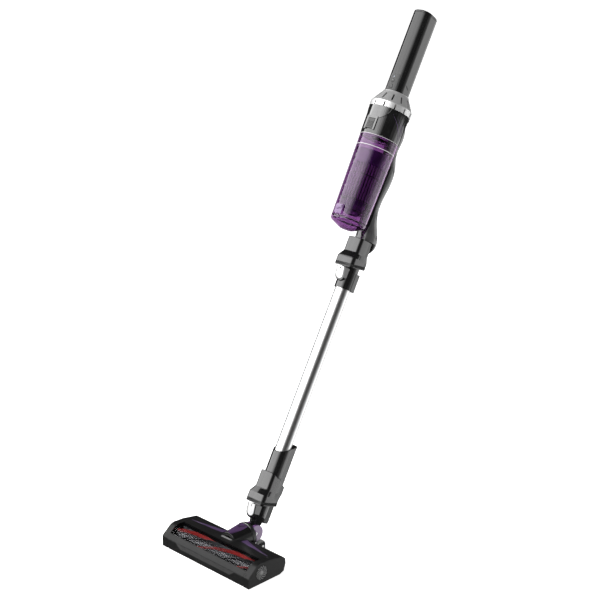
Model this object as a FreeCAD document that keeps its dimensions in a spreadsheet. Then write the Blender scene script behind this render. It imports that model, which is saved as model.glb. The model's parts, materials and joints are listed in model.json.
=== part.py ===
"""Cordless stick vacuum, in millimetres.

The origin is the middle of the hand grip, X runs along the width of the floor head, -Y is the
front and +Z is up.  The stick leans back and the floor head lies level on the floor.

Pieces on the stick are drawn upright in one of two frames whose Z runs up the stick and whose +Y
faces the user: the wand frame, centred on the wand, and the unit frame, centred on the handle,
motor and dust bin, which stand in front of the wand.  In both, Z = 0 is the height of the neck's
pitch pivot.  Pieces of the floor head are drawn in the head frame, whose Z = 0 is the floor.
"""

import FreeCAD, Part
import math
import os
import Sketcher
from FreeCAD import Placement, Rotation, Vector

doc = FreeCAD.newDocument("stick_vacuum")
sheet = doc.addObject("Spreadsheet::Sheet", "dims")


class Size:
    """A size that knows both its number and the sheet expression that gives it."""

    def __init__(self, number, text=None):
        self.number = float(number)
        self.text = text or repr(float(number))
        self.bound = text is not None

    def _join(self, other, sign, number):
        other = as_size(other)
        joined = Size(number, f"({self.text} {sign} {other.text})")
        joined.bound = self.bound or other.bound
        return joined

    def __add__(self, other):
        return self._join(other, "+", self.number + number(other))

    def __sub__(self, other):
        return self._join(other, "-", self.number - number(other))

    def __mul__(self, other):
        return self._join(other, "*", self.number * number(other))

    def __truediv__(self, other):
        return self._join(other, "/", self.number / number(other))

    def __radd__(self, other):
        return as_size(other) + self

    def __rsub__(self, other):
        return as_size(other) - self

    def __rmul__(self, other):
        return as_size(other) * self

    def __neg__(self):
        return self * -1


def as_size(value):
    return value if isinstance(value, Size) else Size(value)


def number(value):
    return as_size(value).number


DRIVING_SIZES = {
    "lean": 30.0,
    "unit_offset": 51.7,
    "grip_station": 938.0,
    "pivot_y": 61.8,
    "pivot_z": 27.2,
    "shell_wall": 2.0,
    "slide_gap": 0.35,
    # handle and main unit
    "grip_half_x": 20.0,
    "grip_half_y": 22.5,
    "grip_corner": 17.0,
    "grip_bottom": 815.0,
    "cell_radius": 9.1,
    "cell_length": 50.0,
    "ring_bottom": 809.0,
    "ring_top": 844.5,
    "ring_radius": 39.7,
    "housing_bottom": 754.6,
    "housing_radius": 38.5,
    "housing_bore": 35.5,
    "motor_radius": 17.0,
    "fan_radius": 19.0,
    "shaft_radius": 2.0,
    # dust bin
    "bin_bottom": 595.3,
    "bin_top": 753.9,
    "bin_radius_low": 33.8,
    "bin_radius_high": 37.0,
    "lid_bottom": 577.0,
    "filter_radius": 27.0,
    "hinge_y": 35.6,
    "hinge_z": 594.5,
    # wand
    "tube_radius": 14.5,
    "tube_bore": 13.3,
    "spigot_radius": 16.5,
    "socket_radius": 17.0,
    "collar_half_x": 23.0,
    "collar_front": 27.6,
    "collar_back": 19.0,
    "upper_collar": 515.0,
    "lower_collar": 52.0,
    # neck and elbow
    "drum_radius": 16.5,
    "drum_half": 11.8,
    "tongue_half": 6.0,
    "pin_radius": 3.0,
    "elbow_ring": 24.0,
    "elbow_step": 20.0,
    "sleeve_radius": 16.0,
    # floor head
    "head_half": 115.0,
    "cap_width": 13.5,
    "head_front": 55.0,
    "head_back": 34.0,
    "sole_height": 1.2,
    "brush_y": -25.0,
    "brush_z": 18.3,
    "chamber_radius": 19.4,
    "window_radius": 21.6,
    "bristle_radius": 17.8,
    "core_radius": 12.0,
    "belt_motor_y": 14.0,
    "wheel_radius": 9.75,
    "wheel_y": 61.0,
    "roller_radius": 3.5,
    "roller_y": -49.6,
}


class Sizes:
    """The driving sizes as attributes, each tied to its cell of the sheet."""


D = Sizes()
for row, (alias, value) in enumerate(DRIVING_SIZES.items(), start=1):
    sheet.set(f"A{row}", alias)
    sheet.set(f"B{row}", str(value))
    sheet.setAlias(f"B{row}", alias)
    setattr(D, alias, Size(value, f"dims.{alias}"))
doc.recompute()


# ---------------------------------------------------------------- building blocks


def bind(feature, prop, value):
    """Give a property a plain number, or tie it to the sheet."""
    value = as_size(value)
    if value.bound:
        feature.setExpression(prop, value.text)
    elif "." not in prop:
        setattr(feature, prop, value.number)


def place(feature, x, y, z, turn=Rotation()):
    feature.Placement = Placement(Vector(number(x), number(y), number(z)), turn)
    for axis, value in (("x", x), ("y", y), ("z", z)):
        bind(feature, f"Placement.Base.{axis}", value)
    return feature


TURNS = {
    "x": Rotation(Vector(0, 1, 0), 90),
    "y": Rotation(Vector(1, 0, 0), -90),
    "z": Rotation(),
}


def rod(radius, low, high, along="z", x=0, y=0, z=0):
    """A round rod from low to high along one axis, centred on the other two coordinates."""
    cylinder = doc.addObject("Part::Cylinder", "rod")
    bind(cylinder, "Radius", radius)
    bind(cylinder, "Height", as_size(high) - low)
    corner = {"x": (low, y, z), "y": (x, low, z), "z": (x, y, low)}[along]
    return place(cylinder, *corner, TURNS[along])


def cone(low_radius, high_radius, low, high, along="z", x=0, y=0, z=0):
    frustum = doc.addObject("Part::Cone", "cone")
    bind(frustum, "Radius1", low_radius)
    bind(frustum, "Radius2", high_radius)
    bind(frustum, "Height", as_size(high) - low)
    corner = {"x": (low, y, z), "y": (x, low, z), "z": (x, y, low)}[along]
    return place(frustum, *corner, TURNS[along])


def box(x0, x1, y0, y1, z0, z1):
    block = doc.addObject("Part::Box", "block")
    for prop, low, high in (("Length", x0, x1), ("Width", y0, y1), ("Height", z0, z1)):
        bind(block, prop, as_size(high) - low)
    return place(block, x0, y0, z0)


def spoke(width, inner, outer, low, high, angle):
    """A radial block about the Z axis, turned to an angle in degrees."""
    block = doc.addObject("Part::Box", "spoke")
    bind(block, "Length", as_size(outer) - inner)
    bind(block, "Width", width)
    bind(block, "Height", as_size(high) - low)
    turn = Rotation(Vector(0, 0, 1), angle)
    corner = turn.multVec(Vector(number(inner), -number(width) / 2, number(low)))
    block.Placement = Placement(corner, turn)
    bind(block, "Placement.Base.z", low)
    return block


def cut(base, *tools):
    """Cut the tools from a shape, one after another."""
    for tool in tools:
        result = doc.addObject("Part::Cut", "cut")
        result.Base = base
        result.Tool = tool
        base = result
    return base


def fuse(*shapes):
    result = doc.addObject("Part::MultiFuse", "fuse")
    result.Shapes = list(shapes)
    return result


def common(*shapes):
    result = doc.addObject("Part::MultiCommon", "common")
    result.Shapes = list(shapes)
    return result


def tube(outer, inner, low, high, along="z", **centre):
    past = 1
    bore = rod(inner, as_size(low) - past, as_size(high) + past, along, **centre)
    return cut(rod(outer, low, high, along, **centre), bore)


def new_sketch(body, role, height=0):
    """A sketch on one of the body's own origin planes, moved along that plane's normal."""
    sketch = body.newObject("Sketcher::SketchObject", f"{body.Name}_outline")
    plane = next(f for f in body.Origin.OriginFeatures if f.Role == role)
    sketch.AttachmentSupport = [(plane, "")]
    sketch.MapMode = "FlatFace"
    sketch.AttachmentOffset = Placement(Vector(0, 0, number(height)), Rotation())
    bind(sketch, "AttachmentOffset.Base.z", height)
    return sketch


def arc_between(start, end, radius):
    """The short arc from start to end; a positive radius turns left."""
    chord = end - start
    rise = math.sqrt(max(radius**2 - (chord.Length / 2) ** 2, 0))
    left = Vector(-chord.y, chord.x, 0).normalize()
    centre = (start + end) * 0.5 + left * math.copysign(rise, radius)
    first, last = (start, end) if radius > 0 else (end, start)
    angles = [math.atan2(p.y - centre.y, p.x - centre.x) for p in (first, last)]
    circle = Part.Circle(centre, Vector(0, 0, 1), abs(radius))
    return Part.ArcOfCircle(circle, angles[0], angles[1])


class Disc:
    """A round section of a loft, centred on X = 0."""

    def __init__(self, radius, y):
        self.radius = radius
        self.y = y


def disc_outline(sketch, disc):
    centre = Vector(0, number(disc.y), 0)
    sketch.addGeometry(Part.Circle(centre, Vector(0, 0, 1), number(disc.radius)), False)
    radius = sketch.addConstraint(Sketcher.Constraint("Radius", 0, number(disc.radius)))
    bind(sketch, f".Constraints[{radius}]", disc.radius)
    sketch.addConstraint(Sketcher.Constraint("PointOnObject", 0, 3, -2))
    if abs(centre.y) < 1e-9:
        sketch.addConstraint(Sketcher.Constraint("PointOnObject", 0, 3, -1))
    else:
        height = sketch.addConstraint(Sketcher.Constraint("DistanceY", -1, 1, 0, 3, centre.y))
        bind(sketch, f".Constraints[{height}]", disc.y)


def outline(sketch, corners):
    """A closed outline, fully dimensioned.  A corner is (across, up), or (across, up, radius)
    where an arc arrives at it; a positive radius turns left."""
    if isinstance(corners, Disc):
        disc_outline(sketch, corners)
        return
    points = [Vector(number(c[0]), number(c[1]), 0) for c in corners]
    ends = []
    for i, corner in enumerate(corners):
        if len(corner) == 3:
            radius = number(corner[2])
            sketch.addGeometry(arc_between(points[i - 1], points[i], radius), False)
            ends.append((1, 2) if radius > 0 else (2, 1))
        else:
            sketch.addGeometry(Part.LineSegment(points[i - 1], points[i]), False)
            ends.append((1, 2))
    for i, corner in enumerate(corners):
        start, _ = ends[i]
        before = (i - 1) % len(corners)
        sketch.addConstraint(Sketcher.Constraint("Coincident", before, ends[before][1], i, start))
        for kind, value, axis in (("DistanceX", corner[0], -2), ("DistanceY", corner[1], -1)):
            if abs(number(value)) < 1e-9:
                rule = Sketcher.Constraint("PointOnObject", i, ends[i][1], axis)
                sketch.addConstraint(rule)
                continue
            rule = Sketcher.Constraint(kind, -1, 1, i, ends[i][1], number(value))
            index = sketch.addConstraint(rule)
            bind(sketch, f".Constraints[{index}]", value)
        if len(corner) == 3:
            rule = Sketcher.Constraint("Radius", i, abs(number(corner[2])))
            sketch.addConstraint(rule)


def padded(role, corners, low, high):
    """A PartDesign body: one outline padded from low to high along the plane's normal."""
    body = doc.addObject("PartDesign::Body", "padded")
    sketch = new_sketch(body, role, low)
    outline(sketch, corners)
    pad = body.newObject("PartDesign::Pad", f"{body.Name}_pad")
    pad.Profile = sketch
    bind(pad, "Length", as_size(high) - low)
    return body


def slab(corners, low, high):
    """An outline in X and Y, padded up Z."""
    return padded("XY_Plane", corners, low, high)


def prism(corners, low, high):
    """An outline in Y and Z, padded along X."""
    return padded("YZ_Plane", corners, low, high)


def turned(corners):
    """A PartDesign body: an outline of (radius, height) revolved about the Z axis."""
    body = doc.addObject("PartDesign::Body", "turned")
    sketch = new_sketch(body, "XZ_Plane")
    outline(sketch, corners)
    revolution = body.newObject("PartDesign::Revolution", f"{body.Name}_revolution")
    revolution.Profile = sketch
    revolution.ReferenceAxis = (sketch, ["V_Axis"])
    revolution.Angle = 360
    return body


def lofted(sections, ruled=True):
    """A PartDesign body through outlines, each section an (outline, height); straight or smooth."""
    body = doc.addObject("PartDesign::Body", "lofted")
    sketches = []
    for corners, height in sections:
        sketch = new_sketch(body, "XY_Plane", height)
        outline(sketch, corners)
        sketches.append(sketch)
    loft = body.newObject("PartDesign::AdditiveLoft", f"{body.Name}_loft")
    loft.Profile = sketches[0]
    loft.Sections = sketches[1:]
    loft.Ruled = ruled
    return body


def rounded(half_x, front, back, corner):
    """A rounded rectangle: X from -half_x to half_x, Y from -front to back."""
    side = as_size(half_x) - corner
    low = corner - as_size(front)
    high = as_size(back) - corner
    return [
        (half_x, high),
        (side, back, corner),
        (-side, back),
        (-as_size(half_x), high, corner),
        (-as_size(half_x), low),
        (-side, -as_size(front), corner),
        (side, -as_size(front)),
        (half_x, low, corner),
    ]


def solid(shape):
    """A plain Part feature, for a form that no primitive or sketched feature makes."""
    feature = doc.addObject("Part::Feature", "solid")
    feature.Shape = shape
    return feature


nodes = {}


def node(name, frame, *shapes):
    """Make one sub-part in its frame; several shapes become a group of separate solids."""
    if len(shapes) == 1 and shapes[0].TypeId not in ("Part::Cylinder", "Part::Box", "Part::Cone"):
        part = shapes[0]
    else:
        part = doc.addObject("Part::Compound", "group")
        part.Links = list(shapes)
    part.Label = name
    part.Placement = frame
    nodes[name] = part
    return part


# ---------------------------------------------------------------- frames

up_the_stick = Rotation(Vector(1, 0, 0), -D.lean.number)
grip = up_the_stick.multVec(Vector(0, -D.unit_offset.number, D.grip_station.number))
WAND = Placement(-grip, up_the_stick)
UNIT = WAND.multiply(Placement(Vector(0, -D.unit_offset.number, 0), Rotation()))
HEAD = Placement(-grip - Vector(0, D.pivot_y.number, D.pivot_z.number), Rotation())


# ---------------------------------------------------------------- handle


def grip_section(margin):
    """The handle's rounded section, grown or shrunk by a margin."""
    half_y = D.grip_half_y + margin
    return rounded(D.grip_half_x + margin, half_y, half_y, D.grip_corner + margin)


GRIP_TOP_FRONT, GRIP_TOP_BACK = 1001.0, 997.0
PANEL_LOW, PANEL_HIGH, PANEL_HALF = 846.0, 876.5, 11.5
POWER_Z, BOOST_Z = 852.0, 863.5
POWER_RADIUS, BOOST_RADIUS = 4.5, 3.6
BUTTON_GAP = 0.35


def above_grip_end(rise, height=60):
    """The space above the handle's sloping end, raised by rise."""
    front, back = GRIP_TOP_FRONT + rise, GRIP_TOP_BACK + rise
    slope = (front - back) / 45
    high, low = front + slope * 12, back - slope * 12
    return [(-34.5, high), (34.5, low), (34.5, low + height), (-34.5, high + height)]


def panel_patch(inner_margin, outer_margin, spare=0):
    """A curved patch that follows the front of the handle."""
    low, high = PANEL_LOW - 2, PANEL_HIGH + 2
    shell = cut(slab(grip_section(outer_margin), low, high), slab(grip_section(inner_margin), low, high))
    half = PANEL_HALF + spare
    return common(shell, box(-half, half, -30, -8, PANEL_LOW - spare, PANEL_HIGH + spare))


def handle():
    shell = slab(grip_section(0), D.grip_bottom - 1, 1020)
    hollow = slab(grip_section(-D.shell_wall), D.grip_bottom - 5, 1030)
    base = rod(33, D.grip_bottom - 4, D.grip_bottom - 1)
    cutters = [
        hollow,
        prism(above_grip_end(0), -30, 30),
        panel_patch(-0.9, 1.5, 0.05),
        rod(POWER_RADIUS + BUTTON_GAP, -30, -15, "y", z=POWER_Z),
        rod(BOOST_RADIUS + BUTTON_GAP, -30, -15, "y", z=BOOST_Z),
        rod(4.6, 15, 30, "y", z=870),
    ]
    node("handle_grip", UNIT, cut(fuse(shell, base), *cutters))

    cap = common(
        slab(grip_section(0), 995, 1040),
        cut(prism(above_grip_end(0.1), -30, 30), prism(above_grip_end(5.5), -31, 31)),
    )
    plug = cut(
        slab(grip_section(-D.shell_wall - 0.1), 996, 1012),
        slab(grip_section(-D.shell_wall - 2), 990, 1020),
        prism(above_grip_end(0.1), -30, 30),
    )
    node("handle_end_cap", UNIT, fuse(cap, plug))

    panel = cut(
        panel_patch(-0.9, 0.5),
        rod(POWER_RADIUS + BUTTON_GAP, -30, -15, "y", z=POWER_Z),
        rod(BOOST_RADIUS + BUTTON_GAP, -30, -15, "y", z=BOOST_Z),
    )
    node("control_panel", UNIT, panel)
    button_back = -21.3
    for name, radius, height in (
        ("power_button", POWER_RADIUS, POWER_Z),
        ("boost_button", BOOST_RADIUS, BOOST_Z),
    ):
        body = rod(radius, -23.6, button_back, "y", z=height)
        dimple = doc.addObject("Part::Sphere", "dimple")
        bind(dimple, "Radius", radius * 3)
        place(dimple, 0, -23.6 - radius * 2.9, height)
        node(name, UNIT, cut(body, dimple))


def handle_inside():
    board = box(-10.2, 10.2, -18, -16.4, 847, 875)
    switches = [rod(2.6, -20.1, -17.9, "y", z=z) for z in (POWER_Z, BOOST_Z)]
    node("control_board", UNIT, fuse(board, *switches))

    jack = cut(rod(4.5, 12, 22.4, "y", z=870), rod(2.8, 13.5, 30, "y", z=870))
    node("charge_socket", UNIT, jack)

    first, pitch = 889.5, D.cell_length + 2
    cells = [
        rod(D.cell_radius, pitch * level + first, pitch * level + first + D.cell_length, y=side * 9.4)
        for level in (0, 1)
        for side in (-1, 1)
    ]
    node("battery_cells", UNIT, *cells)

    plates = [slab(rounded(17.2, 19.6, 19.6, 14.4), z, as_size(z) + 1.8) for z in (887.5, 939.6, 991.7)]
    rails = [box(side * 12.5 - 1.5, side * 12.5 + 1.5, -2, 2, 888, 993) for side in (-1, 1)]
    node("battery_holder", UNIT, fuse(*plates, *rails))


# ---------------------------------------------------------------- motor unit


def exhaust_ring():
    """Silver cowl whose slots let the cleaned air out."""
    wall = D.shell_wall
    low, high, radius = D.ring_bottom, D.ring_top, D.ring_radius
    shell = turned([
        (radius - wall, low),
        (radius, low),
        (radius, low + 11),
        (radius - 1.2, low + 12.6),
        (25.4, high - 2),
        (25.0, high),
        (23.6, high),
        (23.6, high - 2.5),
        (radius - 3.2, low + 12),
        (radius - wall, low + 10),
    ])
    count = 12
    upper = [spoke(3.0, 20, 45, low + 15, low + 28, 360 / count * i + 5) for i in range(count)]
    lower = [spoke(3.0, 30, 45, low - 1, low + 9, 360 / count * (i + 0.5) + 5) for i in range(count)]
    node("exhaust_ring", UNIT, cut(shell, *upper, *lower))
    node("exhaust_filter", UNIT, tube(34, 24, 815.2, 821))


LATCH_HALF, LATCH_LOW, LATCH_HIGH = 7.5, 763.0, 782.0


def motor_unit():
    low, radius, bore = D.housing_bottom, D.housing_radius, D.housing_bore
    shell = turned([
        (15, low),
        (radius - 1, low),
        (radius, D.ring_bottom - 0.2),
        (radius - 1.1, D.ring_bottom - 0.2),
        (radius - 1.1, D.grip_bottom - 4),
        (bore, D.grip_bottom - 4),
        (bore, low + 2.6),
        (15, low + 2.6),
    ])
    brow = common(
        tube(radius + 0.9, radius - 1.2, 780, D.ring_bottom - 0.2),
        rod(27, -50, 0, "y", z=D.ring_bottom),
    )
    window = box(-LATCH_HALF - 0.6, LATCH_HALF + 0.6, -60, -20, LATCH_LOW - 0.6, LATCH_HIGH + 0.6)
    seat = box(-5, 5, -31.5, -30, LATCH_LOW, LATCH_HIGH)
    arms = [box(s * 6.5 - 1.5, s * 6.5 + 1.5, -34.9, -30, LATCH_LOW - 6, LATCH_HIGH + 5) for s in (-1, 1)]
    frame = cut(
        box(-12, 12, -radius - 0.6, -36, LATCH_LOW - 2, LATCH_HIGH + 5),
        rod(bore + 0.2, 700, 900),
        box(-LATCH_HALF - 0.6, LATCH_HALF + 0.6, -60, -20, LATCH_LOW - 5, LATCH_HIGH + 0.6),
    )
    node("motor_housing", UNIT, fuse(cut(fuse(shell, brow), window), frame, seat, *arms))

    pad = box(-LATCH_HALF, LATCH_HALF, -39.4, -36.4, LATCH_LOW, LATCH_HIGH)
    grips = [box(-6, 6, -40.0, -39.3, LATCH_LOW + 3 * i + 3, LATCH_LOW + 3 * i + 4.4) for i in range(4)]
    node("bin_latch", UNIT, fuse(pad, *grips))

    motor = turned([
        (D.shaft_radius + 0.05, 774),
        (D.motor_radius, 774),
        (D.motor_radius, 804),
        (D.shaft_radius + 0.05, 804),
        (D.shaft_radius + 0.05, 800),
        (15, 800),
        (15, 778),
        (D.shaft_radius + 0.05, 778),
    ])
    node("motor_can", UNIT, motor)
    node("motor_shaft", UNIT, rod(D.shaft_radius, 760, 807))
    hub = fuse(
        rod(5, 762, 772),
        rod(D.fan_radius, 762, 763.6),
        *[spoke(1.2, 4.5, D.fan_radius - 0.4, 763, 771, 360 / 9 * i) for i in range(9)],
    )
    node("fan_impeller", UNIT, cut(hub, rod(D.shaft_radius, 750, 790)))


# ---------------------------------------------------------------- dust bin and air duct

# (height, centre y, radius) of the air duct behind the bin, in the wand frame
DUCT_STATIONS = (
    (555, 6, 18),
    (601, 6, 18),
    (615, 1, 15.5),
    (708, 0, 15),
    (726, -4, 14),
    (743, -9.5, 13),
    (760, -13.5, 15.5),
    (785, -25, 23),
    (808, -36, 30),
)
PORT_Z, PORT_RADIUS = 735.0, 8.5


def duct_form(growth, shift=0):
    """The duct's outer form, grown or shrunk, and moved along Y into another frame."""
    sections = [(Disc(radius + growth, shift + y), height) for height, y, radius in DUCT_STATIONS]
    return lofted(sections, ruled=False)


def dust_bin():
    low, high, wall = D.bin_bottom, D.bin_top, 1.8
    shift = D.unit_offset

    def full():
        return cone(D.bin_radius_low, D.bin_radius_high, low, high)

    hollow = cone(D.bin_radius_low - wall, D.bin_radius_high - wall, low - 0.01, high + 0.01)
    bulge = common(full(), duct_form(2.3, shift))
    seat = cut(box(-6, 6, -35.7, -30, 600, 613), rod(33, 590, 620))
    knuckle = rod(3, -4, 4, "x", y=D.hinge_y, z=D.hinge_z)
    lid_room = [rod(3.4, s * 7.2 - 3.2, s * 7.2 + 3.2, "x", y=D.hinge_y, z=D.hinge_z) for s in (-1, 1)]
    tub = cut(
        fuse(cut(full(), hollow), bulge, seat, knuckle),
        duct_form(0.5, shift),
        rod(PORT_RADIUS + 0.5, 10, 50, "y", z=PORT_Z),
        rod(1.5, -20, 20, "x", y=D.hinge_y, z=D.hinge_z),
        *lid_room,
    )
    node("bin_tub", UNIT, tub)
    node("lid_hinge_pin", UNIT, rod(1.5, -10, 10, "x", y=D.hinge_y, z=D.hinge_z))

    frame = fuse(
        tube(34.2, 17, 724, 727),
        tube(20.5, 19, 649.9, 724.1),
        tube(D.filter_radius, 19, 646, 650),
        tube(32, 30.5, 700, 724.1),
    )
    node("filter_frame", UNIT, cut(frame, duct_form(2.5, shift)))
    pleats = 40
    rim = []
    for i in range(2 * pleats + 1):
        radius = D.filter_radius.number if i % 2 else 21.5
        angle = math.pi * i / pleats
        rim.append(Vector(radius * math.cos(angle), radius * math.sin(angle), 650))
    star = Part.Face(Part.makePolygon(rim)).extrude(Vector(0, 0, 74))
    node("pleated_filter", UNIT, cut(solid(star), rod(20.5, 640, 730)))
    swirl = turned([
        (19, 646),
        (D.filter_radius, 646),
        (D.filter_radius, 644),
        (21, 638),
        (21, 622),
        (12, 606),
        (10, 606),
        (19, 622.6),
    ])
    node("cyclone_cone", UNIT, swirl)


def bin_lid():
    radius, top = D.bin_radius_low, D.bin_bottom - 0.4
    bowl = turned([
        (0, D.lid_bottom),
        (12, D.lid_bottom + 0.5),
        (radius - 2.3, D.lid_bottom + 10),
        (radius, D.lid_bottom + 14),
        (radius, top),
        (radius - 2.2, top),
        (radius - 2.2, D.lid_bottom + 15),
        (radius - 4, D.lid_bottom + 11.6),
        (11.5, D.lid_bottom + 2.5),
        (0, D.lid_bottom + 2),
    ])
    barrels = [rod(3, s * 7.2 - 2.8, s * 7.2 + 2.8, "x", y=D.hinge_y, z=D.hinge_z) for s in (-1, 1)]
    webs = [box(s * 7.2 - 2.8, s * 7.2 + 2.8, 31.5, D.hinge_y, 591.5, 593.5) for s in (-1, 1)]
    lip = cut(box(-5, 5, -35.6, -30, 589, 594.4), rod(33, 580, 600))
    lid = cut(
        fuse(bowl, *barrels, *webs, lip),
        rod(1.55, -20, 20, "x", y=D.hinge_y, z=D.hinge_z),
        rod(3.4, -4.4, 4.4, "x", y=D.hinge_y, z=D.hinge_z),
    )
    node("bin_lid", UNIT, lid)
    node("lid_seal", UNIT, tube(radius - 2.2, radius - 3.8, 592.4, top))
    plate = fuse(
        box(-8, 8, -38.2, -36.2, 597, 614),
        *[box(-6.5, 6.5, -38.7, -38.1, 599 + 3 * i, 600.4 + 3 * i) for i in range(4)],
    )
    node("lid_catch", UNIT, plate)


def air_duct():
    behind = [
        (19, 548),
        (60, 548),
        (60, 812),
        (-45, 812),
        (-45, 810),
        (-22, 748),
        (-7, 718),
        (-7, 574.2),
        (19, 574.2),
    ]
    span = box(-40, 40, -60, 60, 574.2, 754.2)
    core = common(duct_form(-2.2), span)
    front = cut(common(duct_form(0), span), prism(behind, -40, 40))
    bore = common(duct_form(-4.4), box(-40, 40, -60, 60, 500, 749))
    port = rod(PORT_RADIUS, -40, -8, "y", z=PORT_Z)
    node("rear_duct", WAND, cut(fuse(core, front), bore, port))

    cover_room = cut(prism(behind, -40, 40), rod(D.housing_radius + 0.2, 700, 830, y=-D.unit_offset))
    skin = common(cover_room, duct_form(0))
    hollow = common(duct_form(-2), box(-40, 40, -60, 60, 500, 806))
    cover = cut(skin, hollow)
    node("spine_cover", WAND, cover)


# ---------------------------------------------------------------- wand and its two releases


def skirt_band(base, low, high):
    """The space between two planes parallel to a skirt's bottom edge, which rises towards the back."""
    front, back = base - 1.9, base + 10.2
    return [(-40, front + low), (40, back + low), (40, back + high), (-40, front + high)]


def collar_form(base, neck_top, neck_back):
    """A skirt that narrows to a neck above it, with a recessed band along its bottom edge."""
    half, front, back = D.collar_half_x, D.collar_front, D.collar_back
    skirt = rounded(half, front, back, 7)
    neck = rounded(18.5, 20.5, neck_back, 6)
    form = lofted([(skirt, base), (skirt, base + 19), (neck, base + 31), (neck, neck_top)])
    around = cut(
        slab(rounded(half + 1, front + 1, back + 1, 8), base - 3, base + 18),
        slab(rounded(half - 0.6, front - 0.6, back - 0.6, 6.4), base - 4, base + 19),
    )
    band = common(around, prism(skirt_band(base.number, 1.4, 7.0), -30, 30))
    return cut(form, band)


def collars():
    base = D.upper_collar
    inlet = cut(
        collar_form(base, 574, 18.5),
        rod(D.spigot_radius + D.slide_gap, base - 5, 562),
        rod(12.5, 560, 580),
        prism(skirt_band(base.number, -20, 0), -30, 30),
    )
    node("inlet_collar", WAND, inlet)

    base = D.lower_collar
    neck_rim = [(-40, 123.5), (-40, 140), (40, 140), (40, 88.6)]
    lower = cut(
        collar_form(base, 118, 27),
        rod(D.spigot_radius + D.slide_gap, base - 5, 125),
        prism(skirt_band(base.number, -20, 0), -30, 30),
        prism(neck_rim, -30, 30),
    )
    node("wand_collar", WAND, lower)


def tab_seat(base):
    """A bracket with a round foot; a release tab sits in its pocket and presses inwards."""
    wedge = prism(
        [
            (-8, base - 30),
            (-17.5, base - 29),
            (-21.2, base - 26),
            (-27, base - 1.7),
            (-8, base - 1.7),
        ],
        -10.5,
        10.5,
    )
    foot = rod(10.5, -40, 0, "y", z=base - 17)
    pocket = prism(
        [
            (-17.4, base - 24.6),
            (-22.8, base - 1),
            (-40, base - 1),
            (-40, base - 24.6),
        ],
        -8.35,
        8.35,
    )
    toe = rod(8.35, -40, -10, "y", z=base - 15.5)
    room = common(pocket, fuse(toe, box(-8.35, 8.35, -40, -10, base - 15.5, base)))
    return cut(common(wedge, fuse(foot, box(-10.5, 10.5, -40, 0, base - 17, base))), room)


def wand():
    tube_radius = D.tube_radius
    node("wand_tube", WAND, tube(tube_radius, D.tube_bore, 112, 559))

    base = D.upper_collar
    socket = fuse(
        rod(D.socket_radius, base - 39, base - 5),
        slab(rounded(17.5, 5, 17.5, 8), base - 39, base - 5),
        rod(D.spigot_radius, base - 5.1, base + 46),
        tab_seat(base.number),
    )
    node("wand_spigot", WAND, cut(socket, rod(tube_radius, base - 50, base + 50)))

    fit = D.spigot_radius + D.slide_gap
    below_neck = [(-40, 123.6), (-40, 60), (40, 60), (40, 88.8)]
    above_rim = [(-40, 141.6), (-40, 200), (40, 200), (40, 184.7)]
    ridge = cut(slab(rounded(16, 5, 22, 7), 90, 190), prism(below_neck, -30, 30), rod(fit, 80, 109))
    lower_socket = cut(
        fuse(rod(fit, 109, 190), ridge),
        rod(tube_radius, 90, 200),
        prism(above_rim, -30, 30),
    )
    node("wand_socket", WAND, lower_socket)


def releases():
    """White tabs: the upper one rides on the wand, the lower one on the neck."""
    for name, base in (("upper_release", D.upper_collar.number), ("lower_release", D.lower_collar.number)):
        plate = prism(
            [
                (-20.4, base - 23),
                (-22.4, base - 24),
                (-28.2, base - 1.4),
                (-25.6, base - 1.4),
            ],
            -8,
            8,
        )
        toe = rod(8, -40, -10, "y", z=base - 15.5)
        body = box(-8, 8, -40, -10, base - 15.5, base)
        eye = rod(1.5, -40, -10, "y", z=base - 5)
        node(name, WAND, cut(common(plate, fuse(toe, body)), eye))


# ---------------------------------------------------------------- neck and elbow


def neck_outside():
    return turned([
        (0, 8),
        (8, 8),
        (8, 12.5),
        (10.8, 17),
        (14.5, 32),
        (14.5, 56),
        (D.spigot_radius, 58),
        (D.spigot_radius, 108),
        (0, 108),
    ])


def neck():
    half = D.tongue_half
    tongue = fuse(rod(11.5, -half, half, "x"), box(-half, half, -8, 8, 0, 13))
    bore = turned([(0, 20), (7.5, 20), (12.8, 40), (12.8, 109), (0, 109)])
    gap = D.drum_radius + 0.4
    body = cut(
        fuse(neck_outside(), tongue, tab_seat(D.lower_collar.number)),
        bore,
        rod(4.4, 5, 21),
        rod(gap, half, 30, "x"),
        rod(gap, -30, -half, "x"),
        rod(D.pin_radius + 0.06, -20, 20, "x"),
    )
    node("neck_pipe", WAND, body)
    ridge = prism([(10, 22), (15, 22), (21, 23), (22, 28), (22, 55), (20, 57), (10, 57)], -10, 10)
    node("neck_cable_cover", WAND, cut(ridge, neck_outside()))


def elbow():
    y, z = D.pivot_y, D.pivot_z
    ring = fuse(
        tube(D.elbow_ring, 13, 43.6, 46.4, "y", z=z),
        tube(D.elbow_ring, 17.6, 46.3, 50.8, "y", z=z),
        tube(D.elbow_step, 17.6, 50.7, 54.5, "y", z=z),
        tube(D.sleeve_radius, 13, 18, 43.7, "y", z=z),
    )
    node("swivel_ring", HEAD, ring)
    half, slot = D.drum_half, D.tongue_half + 0.4
    swing = prism([(61.8, 27.2), (43.3, 50.8), (61.8, 62), (96, 62), (96, 27.2), (87, 10.8)], -6.4, 6.4)
    drum = cut(
        fuse(rod(D.drum_radius, -half, half, "x", y=y, z=z), rod(15, 46.5, 60, "y", z=z)),
        box(-20, 20, 30, 46.5, 0, 60),
        rod(11.9, -slot, slot, "x", y=y, z=z),
        swing,
        rod(D.pin_radius, -20, 20, "x", y=y, z=z),
        rod(6, 40, 60, "y", z=z),
    )
    node("knuckle_shell", HEAD, drum)
    pins = [rod(D.pin_radius, low, low + 10, "x", y=y, z=z) for low in (-11.8, 1.8)]
    node("pitch_pins", HEAD, *pins)


# ---------------------------------------------------------------- floor head

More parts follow.
